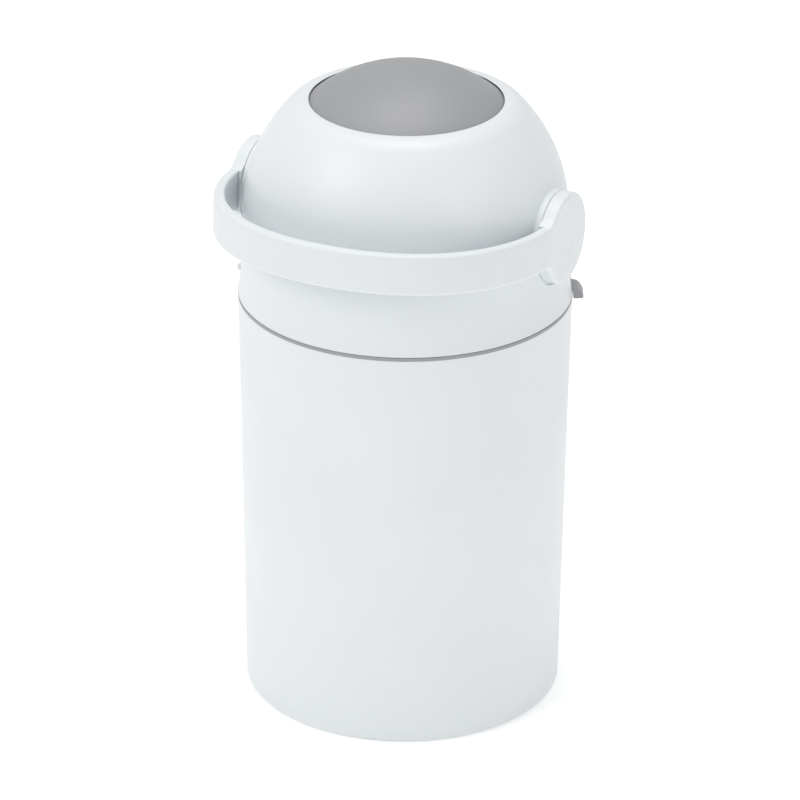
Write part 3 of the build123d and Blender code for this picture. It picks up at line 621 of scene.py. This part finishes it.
# ---------------------------------------------------------------- head shell
def head_outline():
    """Closed outline of the head: collar, dome, rolled rim, seat over the drum and the inside wall."""
    roll_z = HEAD_TOP - ROLL_RADIUS
    polar = math.asin(HOLE_RADIUS / (DOME_RADIUS - ROLL_RADIUS))
    collar = [collar_point(step / COLLAR_STEPS) for step in range(1, COLLAR_STEPS + 1)]
    collar[0:0] = [(COLLAR_RADIUS - SKIN, HEAD_BOTTOM), (COLLAR_RADIUS, HEAD_BOTTOM + SKIN)]
    dome = [
        (DOME_RADIUS * math.cos(angle), DOME_Z + DOME_RADIUS * math.sin(angle))
        for angle in (step / DOME_STEPS * (math.pi / 2 - polar) for step in range(1, DOME_STEPS + 1))
    ]
    roll = [
        (HOLE_RADIUS + ROLL_RADIUS * math.sin(angle), roll_z + ROLL_RADIUS * math.cos(angle))
        for angle in (polar * (1 - step / ROLL_STEPS) for step in range(1, ROLL_STEPS))
    ]
    lip = [
        (HOLE_RADIUS + LIP_ROUND, HEAD_TOP),
        (HOLE_RADIUS + LIP_ROUND * 0.3, HEAD_TOP - LIP_ROUND * 0.3),
        (HOLE_RADIUS, HEAD_TOP - LIP_ROUND),
    ]
    seat = [
        (radius, PIVOT.z + math.sqrt(SEAT_RADIUS ** 2 - radius ** 2))
        for radius in (HOLE_RADIUS, HOLE_RADIUS + 2 * MM)
    ]
    inner_radius = ROLL_RADIUS - WALL
    inner_roll = [
        (HOLE_RADIUS + inner_radius * math.sin(angle), roll_z + inner_radius * math.cos(angle))
        for angle in (polar * step / INNER_STEPS for step in range(1, INNER_STEPS + 1))
    ]
    inner_dome = [
        ((DOME_RADIUS - WALL) * math.sin(angle), DOME_Z + (DOME_RADIUS - WALL) * math.cos(angle))
        for angle in (
            polar + (math.pi / 2 - polar) * step / (2 * INNER_STEPS) for step in range(1, 2 * INNER_STEPS + 1)
        )
    ]
    inner_collar = [collar_point(step / INNER_STEPS) for step in reversed(range(INNER_STEPS))]
    inner_collar = [(radius - WALL, height) for radius, height in inner_collar]
    return collar + dome + roll + lip + seat + inner_roll + inner_dome + inner_collar


def boss_rings(angle, fillet):
    """(radius, x) points from the dome in to a pivot boss's bore, at one angle round the pivot.

    Where the dome stands proud of the boss's face, under the pivot, the hub disc sits in a shallow pocket
    with room for the disc in both of its end places."""

    def base(radius):
        return head_x(radius * math.cos(angle), PIVOT.z + radius * math.sin(angle))

    edge_radius = HUB_LIFT * math.sin(angle) + math.sqrt(HUB_RADIUS ** 2 - (HUB_LIFT * math.cos(angle)) ** 2)
    rise = BOSS_FACE - base(edge_radius)
    sign = 1 if rise > 0 else -1
    sunk = min(max((1.5 - rise / MM) / 2, 0), 1)
    sunk = sunk * sunk * (3 - 2 * sunk)
    wall = edge_radius + 2 * (SKIN + HUB_LIFT * max(-math.sin(angle), 0)) * sunk
    reach = min(fillet, abs(rise) * 0.8) if rise > 0 else min(0.6 * MM, abs(rise) * 0.8)
    edge = min(0.4 * MM, abs(rise) * 0.2)
    dome_radii = [wall + (BOSS_CUT_RADIUS - wall) * part for part in (0.7, 0.4, 0.2)]
    points = [(radius, base(radius)) for radius in dome_radii]
    for part in (1, 0.8, 0.62, 0.46, 0.32, 0.2, 0.1, 0.03, 0):
        radius = wall + reach * part
        points.append((radius, base(radius) + sign * reach * (1 - math.sqrt(1 - (1 - part) ** 2))))
    points.append((wall, BOSS_FACE - sign * edge))
    for part in (0.4, 0.75, 1):
        turn = part * math.pi / 2
        inward = edge * (1 - math.cos(turn))
        points.append((wall - inward, BOSS_FACE - sign * edge * (1 - math.sin(turn))))
    groove = STOP_DEPTH if math.sin(angle) > -0.05 else 0.0
    points += [
        (edge_radius - 2 * MM, BOSS_FACE),
        (STOP_ORBIT + STOP_HALF_WIDTH, BOSS_FACE),
        (STOP_ORBIT + STOP_HALF_WIDTH - SKIN / 4, BOSS_FACE - groove),
        (STOP_ORBIT - STOP_HALF_WIDTH + SKIN / 4, BOSS_FACE - groove),
        (STOP_ORBIT - STOP_HALF_WIDTH, BOSS_FACE),
        (BORE_RADIUS + 3 * MM, BOSS_FACE),
        (BORE_RADIUS + SKIN, BOSS_FACE),
        (BORE_RADIUS, BOSS_FACE - SKIN),
    ]
    return points


def housing_rings(angle, housing_x):
    """(radius, x) points from the dome's inside wall in to the bush housing's end."""

    def base(radius):
        return head_x(radius * math.cos(angle), PIVOT.z + radius * math.sin(angle), WALL)

    points = [(radius * MM, base(radius * MM)) for radius in HOUSING_BLEND]
    points += [(HOUSING_RADIUS, base(HOUSING_RADIUS)), (HOUSING_RADIUS, housing_x)]
    return points + [(BORE_RADIUS, housing_x)]


def select_where(test, kind="verts"):
    """In edit mode, select only the vertices, edges or faces that pass a test."""
    mesh = bmesh.from_edit_mesh(bpy.context.object.data)
    for element in [*mesh.verts, *mesh.edges, *mesh.faces]:
        element.select = False
    for element in getattr(mesh, kind):
        element.select_set(test(element))
    mesh.select_flush(True)
    bmesh.update_edit_mesh(bpy.context.object.data)


def off_pivot(co):
    """Distance of a point from the line that the handle turns on."""
    return math.hypot(co.y - PIVOT.y, co.z - PIVOT.z)


def grow_rings(side, outer, rings):
    """Extrude a round opening's edge inward, ring by ring, to the places that rings gives for each angle."""

    def on_edge(vertex):
        co = vertex.co
        if not vertex.is_boundary or co.x * side < 0:
            return False
        if abs(off_pivot(co) - BOSS_CUT_RADIUS) > 4 * ON_CIRCLE:
            return False
        return (abs(co.x) > head_x(co.y, co.z, WALL / 2)) == outer

    select_where(on_edge)
    for step in range(len(rings(0.0))):
        bpy.ops.mesh.extrude_region_move(TRANSFORM_OT_translate={"value": (0, 0, 0)})
        mesh = bmesh.from_edit_mesh(bpy.context.object.data)
        for vertex in mesh.verts:
            if vertex.select:
                angle = math.atan2(vertex.co.z - PIVOT.z, vertex.co.y)
                radius, x = rings(angle)[step]
                vertex.co = (side * x, radius * math.cos(angle), PIVOT.z + radius * math.sin(angle))
        bmesh.update_edit_mesh(bpy.context.object.data)


class PAIL_OT_head(bpy.types.Operator):
    """Model the head: collar, dome and rolled rim turned in one, with a boss at each end of the pivot"""

    bl_idname = "pail.head"
    bl_label = "Head Shell"

    def execute(self, context):
        fillet = context.scene.pail_sizes.boss_fillet
        housing_x = low("trunnion_bush_right").x + BUSH_FLANGE
        piece = turned(head_outline(), closed=True)
        for side in (-1, 1):
            start_piece()
            bpy.ops.mesh.primitive_cylinder_add(
                vertices=CUTTER_STEPS, radius=BOSS_CUT_RADIUS, depth=CUTTER_DEPTH,
                location=(side * BOSS_FACE, 0, PIVOT.z), rotation=(0, math.pi / 2, 0),
            )
            boolean(piece, bpy.context.object)
        edit_piece(piece)

        def on_cut(face):
            on_circle = all(abs(off_pivot(v.co) - BOSS_CUT_RADIUS) < ON_CIRCLE for v in face.verts)
            return on_circle and abs(face.normal.x) < 0.3 and abs(face.calc_center_median().x) > BOSS_FACE / 2

        bpy.ops.mesh.select_mode(type="FACE")
        select_where(on_cut, "faces")
        bpy.ops.mesh.delete(type="FACE")
        bpy.ops.mesh.select_mode(type="VERT")
        for side in (-1, 1):
            grow_rings(side, True, lambda angle: boss_rings(angle, fillet))
            grow_rings(side, False, lambda angle: housing_rings(angle, housing_x))
            bpy.ops.mesh.select_mode(type="EDGE")
            select_where(
                lambda edge: edge.is_boundary and all(
                    v.co.x * side > 0 and abs(off_pivot(v.co) - BORE_RADIUS) < ON_CIRCLE for v in edge.verts
                ),
                "edges",
            )
            bpy.ops.mesh.bridge_edge_loops()
            bpy.ops.mesh.select_mode(type="VERT")
        bpy.ops.mesh.select_all(action="SELECT")
        bpy.ops.mesh.remove_doubles(threshold=0.02 * MM)
        bpy.ops.mesh.normals_make_consistent(inside=False)
        bpy.ops.object.mode_set(mode="OBJECT")
        out = Vector((LEVER_PIVOT.x, LEVER_PIVOT.y, 0)).normalized()
        slot_height = high("release_lever").z - HEAD_BOTTOM + 2 * SLOT_LIFT
        slot_middle = HEAD_BOTTOM - SLOT_LIFT + slot_height / 2
        start_piece()
        bpy.ops.mesh.primitive_cube_add(
            size=1,
            location=out * (LEVER_PIVOT.xy.length + TAB_START) + Vector((0, 0, slot_middle)),
            rotation=(0, 0, math.atan2(out.y, out.x)),
            scale=(SLOT_DEPTH, 2 * LEVER_HALF_WIDTH + 4 * SKIN, slot_height),
        )
        boolean(piece, bpy.context.object)
        finish_piece(piece, "head_dome", "head", "shell_plastic", ["head_shell"], angle=HEAD_SMOOTH)
        return {"FINISHED"}


# ---------------------------------------------------------------- drum and ejector
def half_ball(top):
    """Half of the drum's ball with a flat at each pole, as a wall of even thickness."""
    start_piece()
    bpy.ops.mesh.primitive_uv_sphere_add(segments=192, ring_count=96, radius=DRUM_RADIUS, location=PIVOT)
    piece = bpy.context.object
    bpy.ops.object.transform_apply(location=True, rotation=True, scale=True)
    bpy.ops.object.mode_set(mode="EDIT")
    for side in (-1, 1):
        bpy.ops.mesh.select_all(action="SELECT")
        bpy.ops.mesh.bisect(
            plane_co=(side * DRUM_POLE, 0, 0), plane_no=(side, 0, 0), use_fill=True, clear_outer=True
        )
    bpy.ops.mesh.select_all(action="SELECT")
    bpy.ops.mesh.bisect(plane_co=PIVOT, plane_no=(0, 0, top), clear_inner=True)
    if top < 0:
        mouth_edge = PIVOT.z - math.sqrt(DRUM_RADIUS ** 2 - MOUTH_RADIUS ** 2)
        bpy.ops.mesh.select_all(action="SELECT")
        bpy.ops.mesh.bisect(plane_co=(0, 0, mouth_edge), plane_no=(0, 0, -1), clear_outer=True)
    bpy.ops.mesh.select_all(action="SELECT")
    bpy.ops.mesh.normals_make_consistent(inside=False)
    bpy.ops.object.mode_set(mode="OBJECT")
    apply_modifier(piece, "SOLIDIFY", thickness=DRUM_WALL, offset=-1, use_even_offset=True)
    return piece


class PAIL_OT_drum(bpy.types.Operator):
    """Model the drum: the grey ball in two halves, the cup inside it and the ring round its mouth"""

    bl_idname = "pail.drum"
    bl_label = "Ball Drum"

    def execute(self, context):
        finish_piece(half_ball(1), "drum_cap_ball", "drum", "grey_plastic", ["drum_cap_shell"])
        finish_piece(half_ball(-1), "drum_lower_ball", "drum", "grey_plastic", ["drum_lower_shell"])
        cup_bottom = low("drum_cup").z
        cup_outer = CUP_FLANGE - CUP_WALL
        cup_inner = cup_outer - CUP_WALL
        cup = turned(
            rounded(
                (
                    (CENTRE_RADIUS, CUP_TOP - CUP_WALL, 0),
                    (cup_inner, CUP_TOP - CUP_WALL, SMALL_ROUND),
                    (cup_inner, cup_bottom, SMALL_ROUND),
                    (CUP_FLANGE, cup_bottom, SMALL_ROUND),
                    (CUP_FLANGE, cup_bottom + CUP_WALL, SMALL_ROUND),
                    (cup_outer, cup_bottom + CUP_WALL, SMALL_ROUND),
                    (cup_outer, CUP_TOP, 2 * MM),
                    (CENTRE_RADIUS, CUP_TOP, 0),
                )
            )
        )
        finish_piece(cup, "drum_cup_moulding", "drum", "grey_plastic", ["drum_cup"])
        mouth_top = MOUTH_Z + MOUTH_THICKNESS
        ring = turned(
            rounded(
                (
                    (low_radius("mouth_ring"), MOUTH_Z, 2 * SMALL_ROUND),
                    (MOUTH_RADIUS, MOUTH_Z, SKIN),
                    (MOUTH_RADIUS, mouth_top, SKIN),
                    (low_radius("mouth_ring"), mouth_top, SMALL_ROUND),
                ),
                closed=True,
            ),
            closed=True,
        )
        finish_piece(ring, "mouth_ring_moulding", "drum", "grey_plastic", ["mouth_ring"])
        return {"FINISHED"}


class PAIL_OT_ejector(bpy.types.Operator):
    """Model the ejector piston: a cup with a stepped nose and a groove for its wiper"""

    bl_idname = "pail.ejector"
    bl_label = "Ejector Piston"

    def execute(self, context):
        shoulder = PISTON_BOTTOM + MOUTH_THICKNESS
        wiper_bottom = low("piston_wiper").z
        wiper_top = high("piston_wiper").z
        groove = low_radius("piston_wiper")
        inside = PISTON_RADIUS - PISTON_WALL
        outline = rounded(
            (
                (CENTRE_RADIUS, PISTON_BOTTOM, 0),
                (NOSE_RADIUS, PISTON_BOTTOM, 2 * SMALL_ROUND),
                (NOSE_RADIUS, shoulder, SKIN),
                (PISTON_RADIUS, shoulder, SMALL_ROUND),
                (PISTON_RADIUS, wiper_bottom, 0),
                (groove, wiper_bottom, 0),
                (groove, wiper_top, 0),
                (PISTON_RADIUS, wiper_top, 0),
                (PISTON_RADIUS, PISTON_TOP, SMALL_ROUND),
                (inside, PISTON_TOP, SMALL_ROUND),
                (inside, shoulder + PISTON_WALL, 2 * SMALL_ROUND),
                (CENTRE_RADIUS, shoulder + PISTON_WALL, 0),
            )
        )
        piece = turned(outline)
        finish_piece(piece, "ejector_moulding", "ejector", "grey_plastic", ["ejector_piston"])
        return {"FINISHED"}


# ---------------------------------------------------------------- handle
def band_edges(y):
    """Top and bottom of the handle's side view at a place along it: disc, fillets and band in turn."""
    heights = []
    rise = BAND_RISE - HUB_LIFT
    for sign, band in ((1, BAND_HEIGHT / 2 + rise), (-1, BAND_HEIGHT / 2 - rise)):
        blend_y = -math.sqrt((HUB_RADIUS + HUB_BLEND) ** 2 - (band + HUB_BLEND) ** 2)
        if y <= blend_y:
            height = band
        elif y <= blend_y * HUB_RADIUS / (HUB_RADIUS + HUB_BLEND):
            height = band + HUB_BLEND - math.sqrt(HUB_BLEND ** 2 - (y - blend_y) ** 2)
        else:
            height = math.sqrt(max(HUB_RADIUS ** 2 - y * y, 0))
        heights.append(sign * height + HUB_LIFT)
    return heights


def band_x(y):
    """Half width of the handle's plan at a place along it."""
    part = max((-y - BAND_STRAIGHT) / (BAND_REACH_FLAT - BAND_STRAIGHT), 0.0)
    return HUB_OUTER * max(1 - part ** BAND_POWER, 0.0) ** (1 / BAND_POWER)


def handle_stations():
    """(x, y) places along half of the handle's outer face, from the back of the hub to the band's middle."""
    # every six degrees round the disc, every two millimetres in the fillets, and even turns round the band
    places = [HUB_RADIUS * math.cos(math.radians(3 + 6 * step)) for step in range(24)]
    places = [y for y in places if y > PAD_FRONT + MM]
    places += [PAD_FRONT - MM - 2 * step * MM for step in range(6)]
    start = math.acos((band_x(BAND_START) / HUB_OUTER) ** (BAND_POWER / 2))
    angles = [start + (math.pi / 2 - start) * (step / BAND_STEPS) for step in range(BAND_STEPS + 1)]
    stations = [(band_x(y), y) for y in places]
    for angle in angles:
        x = HUB_OUTER * max(math.cos(angle), 0) ** (2 / BAND_POWER)
        y = -BAND_STRAIGHT - (BAND_REACH_FLAT - BAND_STRAIGHT) * math.sin(angle) ** (2 / BAND_POWER)
        stations.append((x, y))
    return stations


def handle_face():
    """The handle's outer face: an edge extruded from station to station, and mirrored."""
    start_piece()
    bpy.ops.mesh.primitive_plane_add(size=MM)
    piece = bpy.context.object
    bpy.ops.object.mode_set(mode="EDIT")
    mesh = bmesh.from_edit_mesh(piece.data)
    mesh.verts.ensure_lookup_table()
    stations = handle_stations()
    x, y = stations[0]
    top, bottom = band_edges(y)
    mesh.verts[0].co = (x, y, bottom)
    mesh.verts[1].co = (x, y, top)
    for vertex in mesh.verts:
        vertex.select_set(vertex.index > 1)
    bmesh.update_edit_mesh(piece.data)
    bpy.ops.mesh.delete(type="VERT")
    bpy.ops.mesh.select_all(action="SELECT")
    for x, y in stations[1:]:
        bpy.ops.mesh.extrude_region_move(TRANSFORM_OT_translate={"value": (0, 0, 0)})
        mesh = bmesh.from_edit_mesh(piece.data)
        top, bottom = band_edges(y)
        ends = sorted((v for v in mesh.verts if v.select), key=lambda v: v.co.z)
        for vertex, height in zip(ends, (bottom, top)):
            vertex.co = (x, y, height)
        bmesh.update_edit_mesh(piece.data)
    bpy.ops.mesh.select_all(action="SELECT")
    bpy.ops.mesh.dissolve_limited(angle_limit=SAME_PLANE)
    bpy.ops.object.mode_set(mode="OBJECT")
    apply_modifier(piece, "MIRROR", use_axis=(True, False, False), merge_threshold=10 * MERGE)
    edit_piece(piece)
    bpy.ops.mesh.select_all(action="SELECT")
    bpy.ops.mesh.normals_make_consistent(inside=False)
    bpy.ops.object.mode_set(mode="OBJECT")
    return piece


def handle_wall(piece):
    """Give the handle's face its thickness, and grow a pad inwards behind each hub disc."""
    outward = sum((p.normal.x * p.center.x + p.normal.y * p.center.y) * p.area for p in piece.data.polygons)
    offset = -1 if outward > 0 else 1
    apply_modifier(piece, "SOLIDIFY", thickness=BAND_THICKNESS, offset=offset, use_even_offset=True)
    inner_x = HUB_OUTER - BAND_THICKNESS
    edit_piece(piece)
    bpy.ops.mesh.select_mode(type="FACE")
    for side in (-1, 1):

        def behind_disc(face):
            middle = face.calc_center_median()
            return abs(face.normal.x) > 0.98 and abs(side * middle.x - inner_x) < MM and middle.y > PAD_FRONT

        select_where(behind_disc, "faces")
        step = (side * (HUB_INNER - inner_x), 0, 0)
        bpy.ops.mesh.extrude_region_move(TRANSFORM_OT_translate={"value": step})


def handle_rounds(piece, outer, inner):
    """Round the handle's sharp edges: the outer ones, the band's inner ones, and the pads' rims."""
    bpy.ops.mesh.select_mode(type="EDGE")
    for size, test in (
        (outer, lambda x, y: x > band_x(y) - 0.5 * MM),
        (inner, lambda x, y: x < band_x(y) - BAND_THICKNESS / 2 and y < PAD_FRONT - MM),
        (SKIN, lambda x, y: x < HUB_INNER + MM and y > PAD_FRONT - MM),
    ):

        def to_round(edge):
            return sharp_enough(edge) and all(test(abs(vertex.co.x), vertex.co.y) for vertex in edge.verts)

        select_where(to_round, "edges")
        bpy.ops.transform.edge_bevelweight(value=size / outer)
    bpy.ops.object.mode_set(mode="OBJECT")
    apply_modifier(piece, "BEVEL", width=outer, segments=5, limit_method="WEIGHT", use_clamp_overlap=False)


class PAIL_OT_handle(bpy.types.Operator):
    """Model the bail handle: a band and two hub discs in one, with soft edges and a stepped inside face"""

    bl_idname = "pail.handle"
    bl_label = "Handle"

    def execute(self, context):
        sizes = context.scene.pail_sizes
        piece = handle_face()
        handle_wall(piece)
        handle_rounds(piece, sizes.band_round, sizes.inner_round)
        piece.matrix_world = Matrix.Translation(PIVOT) @ Matrix.Rotation(-BAND_TILT, 4, "X")
        start_piece()
        piece.select_set(True)
        bpy.ops.object.transform_apply(location=True, rotation=True, scale=True)
        for side in (-1, 1):
            start_piece()
            bpy.ops.mesh.primitive_cylinder_add(
                vertices=SMALL_STEPS, radius=HUB_CAP_RADIUS + SKIN / 4, depth=2 * (HUB_OUTER - HUB_CAP_INNER),
                location=(side * HUB_OUTER, 0, PIVOT.z), rotation=(0, math.pi / 2, 0),
            )
            boolean(piece, bpy.context.object)
        finish_piece(piece, "bail_handle", "drum", "shell_plastic", ["handle"])
        return {"FINISHED"}


class PAIL_OT_hub_caps(bpy.types.Operator):
    """Model the two caps that close the hub screws"""

    bl_idname = "pail.hub_caps"
    bl_label = "Hub Caps"

    def execute(self, context):
        for side, name in ((-1, "left"), (1, "right")):
            outline = rounded(
                (
                    (CENTRE_RADIUS, HUB_CAP_INNER, 0),
                    (HUB_CAP_RADIUS, HUB_CAP_INNER, SKIN / 2),
                    (HUB_CAP_RADIUS, HUB_OUTER, SKIN / 2),
                    (CENTRE_RADIUS, HUB_OUTER, 0),
                )
            )
            piece = turned(outline, axis="X", side=side, steps=SMALL_STEPS)
            finish_piece(piece, f"hub_cap_disc_{name}", "drum", "shell_plastic", [f"hub_cap_{name}"])
        return {"FINISHED"}


# ---------------------------------------------------------------- fittings copied from the frame and softened
def softened_copy(node, width):
    """A merged copy of a node with its flat faces joined and its edges rounded."""
    start_piece()
    source = frame["nodes"][node]
    piece = source.copy()
    piece.data = source.data.copy()
    for key in list(piece.keys()):
        del piece[key]
    piece.parent = None
    bpy.context.scene.collection.objects.link(piece)
    piece.data.materials.clear()
    edit_piece(piece)
    bpy.ops.mesh.select_all(action="SELECT")
    bpy.ops.mesh.customdata_custom_splitnormals_clear()
    bpy.ops.mesh.remove_doubles(threshold=MERGE)
    bpy.ops.mesh.dissolve_limited(angle_limit=FACET_ANGLE)
    bpy.ops.object.mode_set(mode="OBJECT")
    apply_modifier(
        piece, "BEVEL", width=width, segments=3, limit_method="ANGLE",
        angle_limit=SOFT_ANGLE, use_clamp_overlap=True,
    )
    return piece


class PAIL_OT_lever(bpy.types.Operator):
    """Model the release lever: a rounded tab outside the collar, and the boss and arm that it turns on"""

    bl_idname = "pail.lever"
    bl_label = "Release Lever"

    def execute(self, context):
        out = Vector((LEVER_PIVOT.x, LEVER_PIVOT.y, 0)).normalized()
        across = Vector((-out.y, out.x, 0))
        start_piece()
        bpy.ops.mesh.primitive_circle_add(vertices=len(LEVER_OUTLINE), radius=MM, fill_type="NGON")
        piece = bpy.context.object
        for vertex, (radius, z) in zip(piece.data.vertices, LEVER_OUTLINE):
            vertex.co = out * radius * MM - across * LEVER_HALF_WIDTH + Vector((0, 0, z * MM))
        edit_piece(piece)
        bpy.ops.mesh.select_all(action="SELECT")
        bpy.ops.mesh.extrude_region_move(TRANSFORM_OT_translate={"value": across * 2 * LEVER_HALF_WIDTH})
        bpy.ops.mesh.select_all(action="SELECT")
        bpy.ops.mesh.normals_make_consistent(inside=False)
        bpy.ops.object.mode_set(mode="OBJECT")
        for radius, depth, operation in (
            (LEVER_BOSS_RADIUS, 2 * LEVER_HALF_WIDTH, "UNION"),
            (LEVER_PIN_RADIUS, 3 * LEVER_HALF_WIDTH, "DIFFERENCE"),
        ):
            start_piece()
            bpy.ops.mesh.primitive_cylinder_add(
                vertices=48, radius=radius, depth=depth, location=LEVER_PIVOT,
                rotation=across.to_track_quat("Z", "Y").to_euler(),
            )
            boolean(piece, bpy.context.object, operation)
        apply_modifier(
            piece, "BEVEL", width=LEVER_ROUND, segments=3, limit_method="ANGLE", angle_limit=SHARP_ANGLE,
        )
        finish_piece(piece, "release_tab", "latch", "grey_plastic", ["release_lever"])
        return {"FINISHED"}


class PAIL_OT_fittings(bpy.types.Operator):
    """Soften the two hinge leaves"""

    bl_idname = "pail.fittings"
    bl_label = "Hinge Leaves"

    def execute(self, context):
        for node, name, body in (
            ("hinge_leaf_lower", "hinge_leaf_base", "base"),
            ("hinge_leaf_upper", "hinge_leaf_head", "head"),
        ):
            piece = softened_copy(node, SMALL_ROUND)
            finish_piece(piece, name, body, "shell_plastic", [node])
        return {"FINISHED"}


# ---------------------------------------------------------------- stage
class PAIL_OT_stage(bpy.types.Operator):
    """Set up the floor, the soft lights and the camera"""

    bl_idname = "pail.stage"
    bl_label = "Stage"

    def execute(self, context):
        scene = context.scene
        stage = scene.pail_stage
        start_piece()
        bpy.ops.mesh.primitive_plane_add(size=scene.pail_sizes.floor_size)
        floor = context.object
        floor.name = "floor"
        material = bpy.data.materials.new("floor_paper")
        material.use_nodes = True
        shader = material.node_tree.nodes["Principled BSDF"]
        shader.inputs["Base Color"].default_value = FLOOR_COLOUR
        shader.inputs["Roughness"].default_value = 0.9
        shader.inputs["Specular IOR Level"].default_value = 0.1
        shader.inputs["Emission Color"].default_value = (1, 1, 1, 1)
        shader.inputs["Emission Strength"].default_value = FLOOR_GLOW
        floor.data.materials.append(material)
        world = bpy.data.worlds.new("room")
        world.use_nodes = True
        tree = world.node_tree
        place = add_node(tree, "ShaderNodeTexCoord")
        side = add_node(tree, "ShaderNodeVectorMath", operation="DOT_PRODUCT")
        side.inputs[1].default_value = (-math.cos(stage.azimuth), -math.sin(stage.azimuth), 0)
        level = add_node(tree, "ShaderNodeMapRange")
        level.inputs["From Min"].default_value = -1.0
        level.inputs["To Min"].default_value = stage.room * (1 - ROOM_SWING)
        level.inputs["To Max"].default_value = stage.room * (1 + ROOM_SWING)
        tree.links.new(place.outputs["Generated"], side.inputs[0])
        tree.links.new(side.outputs["Value"], level.inputs["Value"])
        tree.links.new(level.outputs["Result"], tree.nodes["Background"].inputs["Strength"])
        tree.nodes["Background"].inputs["Color"].default_value = ROOM_COLOUR
        scene.world = world
        scene.view_settings.view_transform = "Standard"
        aim = Vector((0, 0, PIVOT.z * 0.75))
        for name, place, size, share in LAMPS:
            bpy.ops.object.light_add(type="AREA", location=place)
            lamp = context.object
            lamp.name = name
            lamp.data.shape = "DISK"
            lamp.data.size = size
            lamp.data.energy = stage.key * share
            lamp.data.color = LAMP_COLOUR
            lamp.rotation_euler = (aim - Vector(place)).to_track_quat("-Z", "Y").to_euler()
        place = Vector((math.sin(stage.azimuth), -math.cos(stage.azimuth), 0)) * stage.distance
        bpy.ops.object.camera_add(location=place + Vector((0, 0, stage.height)))
        camera = context.object
        turn = Matrix.Rotation(stage.azimuth - stage.pan, 3, "Z")
        turn = turn @ Matrix.Rotation(math.pi / 2 - stage.pitch, 3, "X")
        camera.rotation_euler = (turn @ Matrix.Rotation(stage.roll, 3, "Z")).to_euler()
        camera.data.sensor_width = 36.0
        camera.data.lens = stage.lens
        camera.data.clip_end = 100.0
        scene.camera = camera
        return {"FINISHED"}


OPERATORS = (
    PAIL_OT_finishes,
    PAIL_OT_container,
    PAIL_OT_bag_ring,
    PAIL_OT_head,
    PAIL_OT_drum,
    PAIL_OT_ejector,
    PAIL_OT_handle,
    PAIL_OT_hub_caps,
    PAIL_OT_lever,
    PAIL_OT_fittings,
    PAIL_OT_stage,
)


class PAIL_PT_panel(bpy.types.Panel):
    """The pail's pieces, sizes and colours"""

    bl_idname = "PAIL_PT_panel"
    bl_label = "Nappy Pail"
    bl_space_type = "VIEW_3D"
    bl_region_type = "UI"
    bl_category = "Nappy Pail"

    def draw(self, context):
        for group in (context.scene.pail_colours, context.scene.pail_sizes, context.scene.pail_stage):
            box = self.layout.box()
            for name in group.bl_rna.properties.keys():
                if name not in ("rna_type", "name"):
                    box.prop(group, name)
        for operator in OPERATORS:
            self.layout.operator(operator.bl_idname)


CLASSES = (PailColours, PailSizes, PailStage, *OPERATORS, PAIL_PT_panel)


def register():
    """Register the classes and hang their settings on the scene."""
    for kind in CLASSES:
        bpy.utils.register_class(kind)
    bpy.types.Scene.pail_colours = bpy.props.PointerProperty(type=PailColours)
    bpy.types.Scene.pail_sizes = bpy.props.PointerProperty(type=PailSizes)
    bpy.types.Scene.pail_stage = bpy.props.PointerProperty(type=PailStage)


def unregister():
    """Take the settings and the classes away again."""
    for name in ("pail_colours", "pail_sizes", "pail_stage"):
        delattr(bpy.types.Scene, name)
    for kind in reversed(CLASSES):
        bpy.utils.unregister_class(kind)


def main():
    """Model every piece in order."""
    register()
    for operator in OPERATORS:
        family, name = operator.bl_idname.split(".")
        getattr(getattr(bpy.ops, family), name)()


if __name__ == "__main__":
    main()
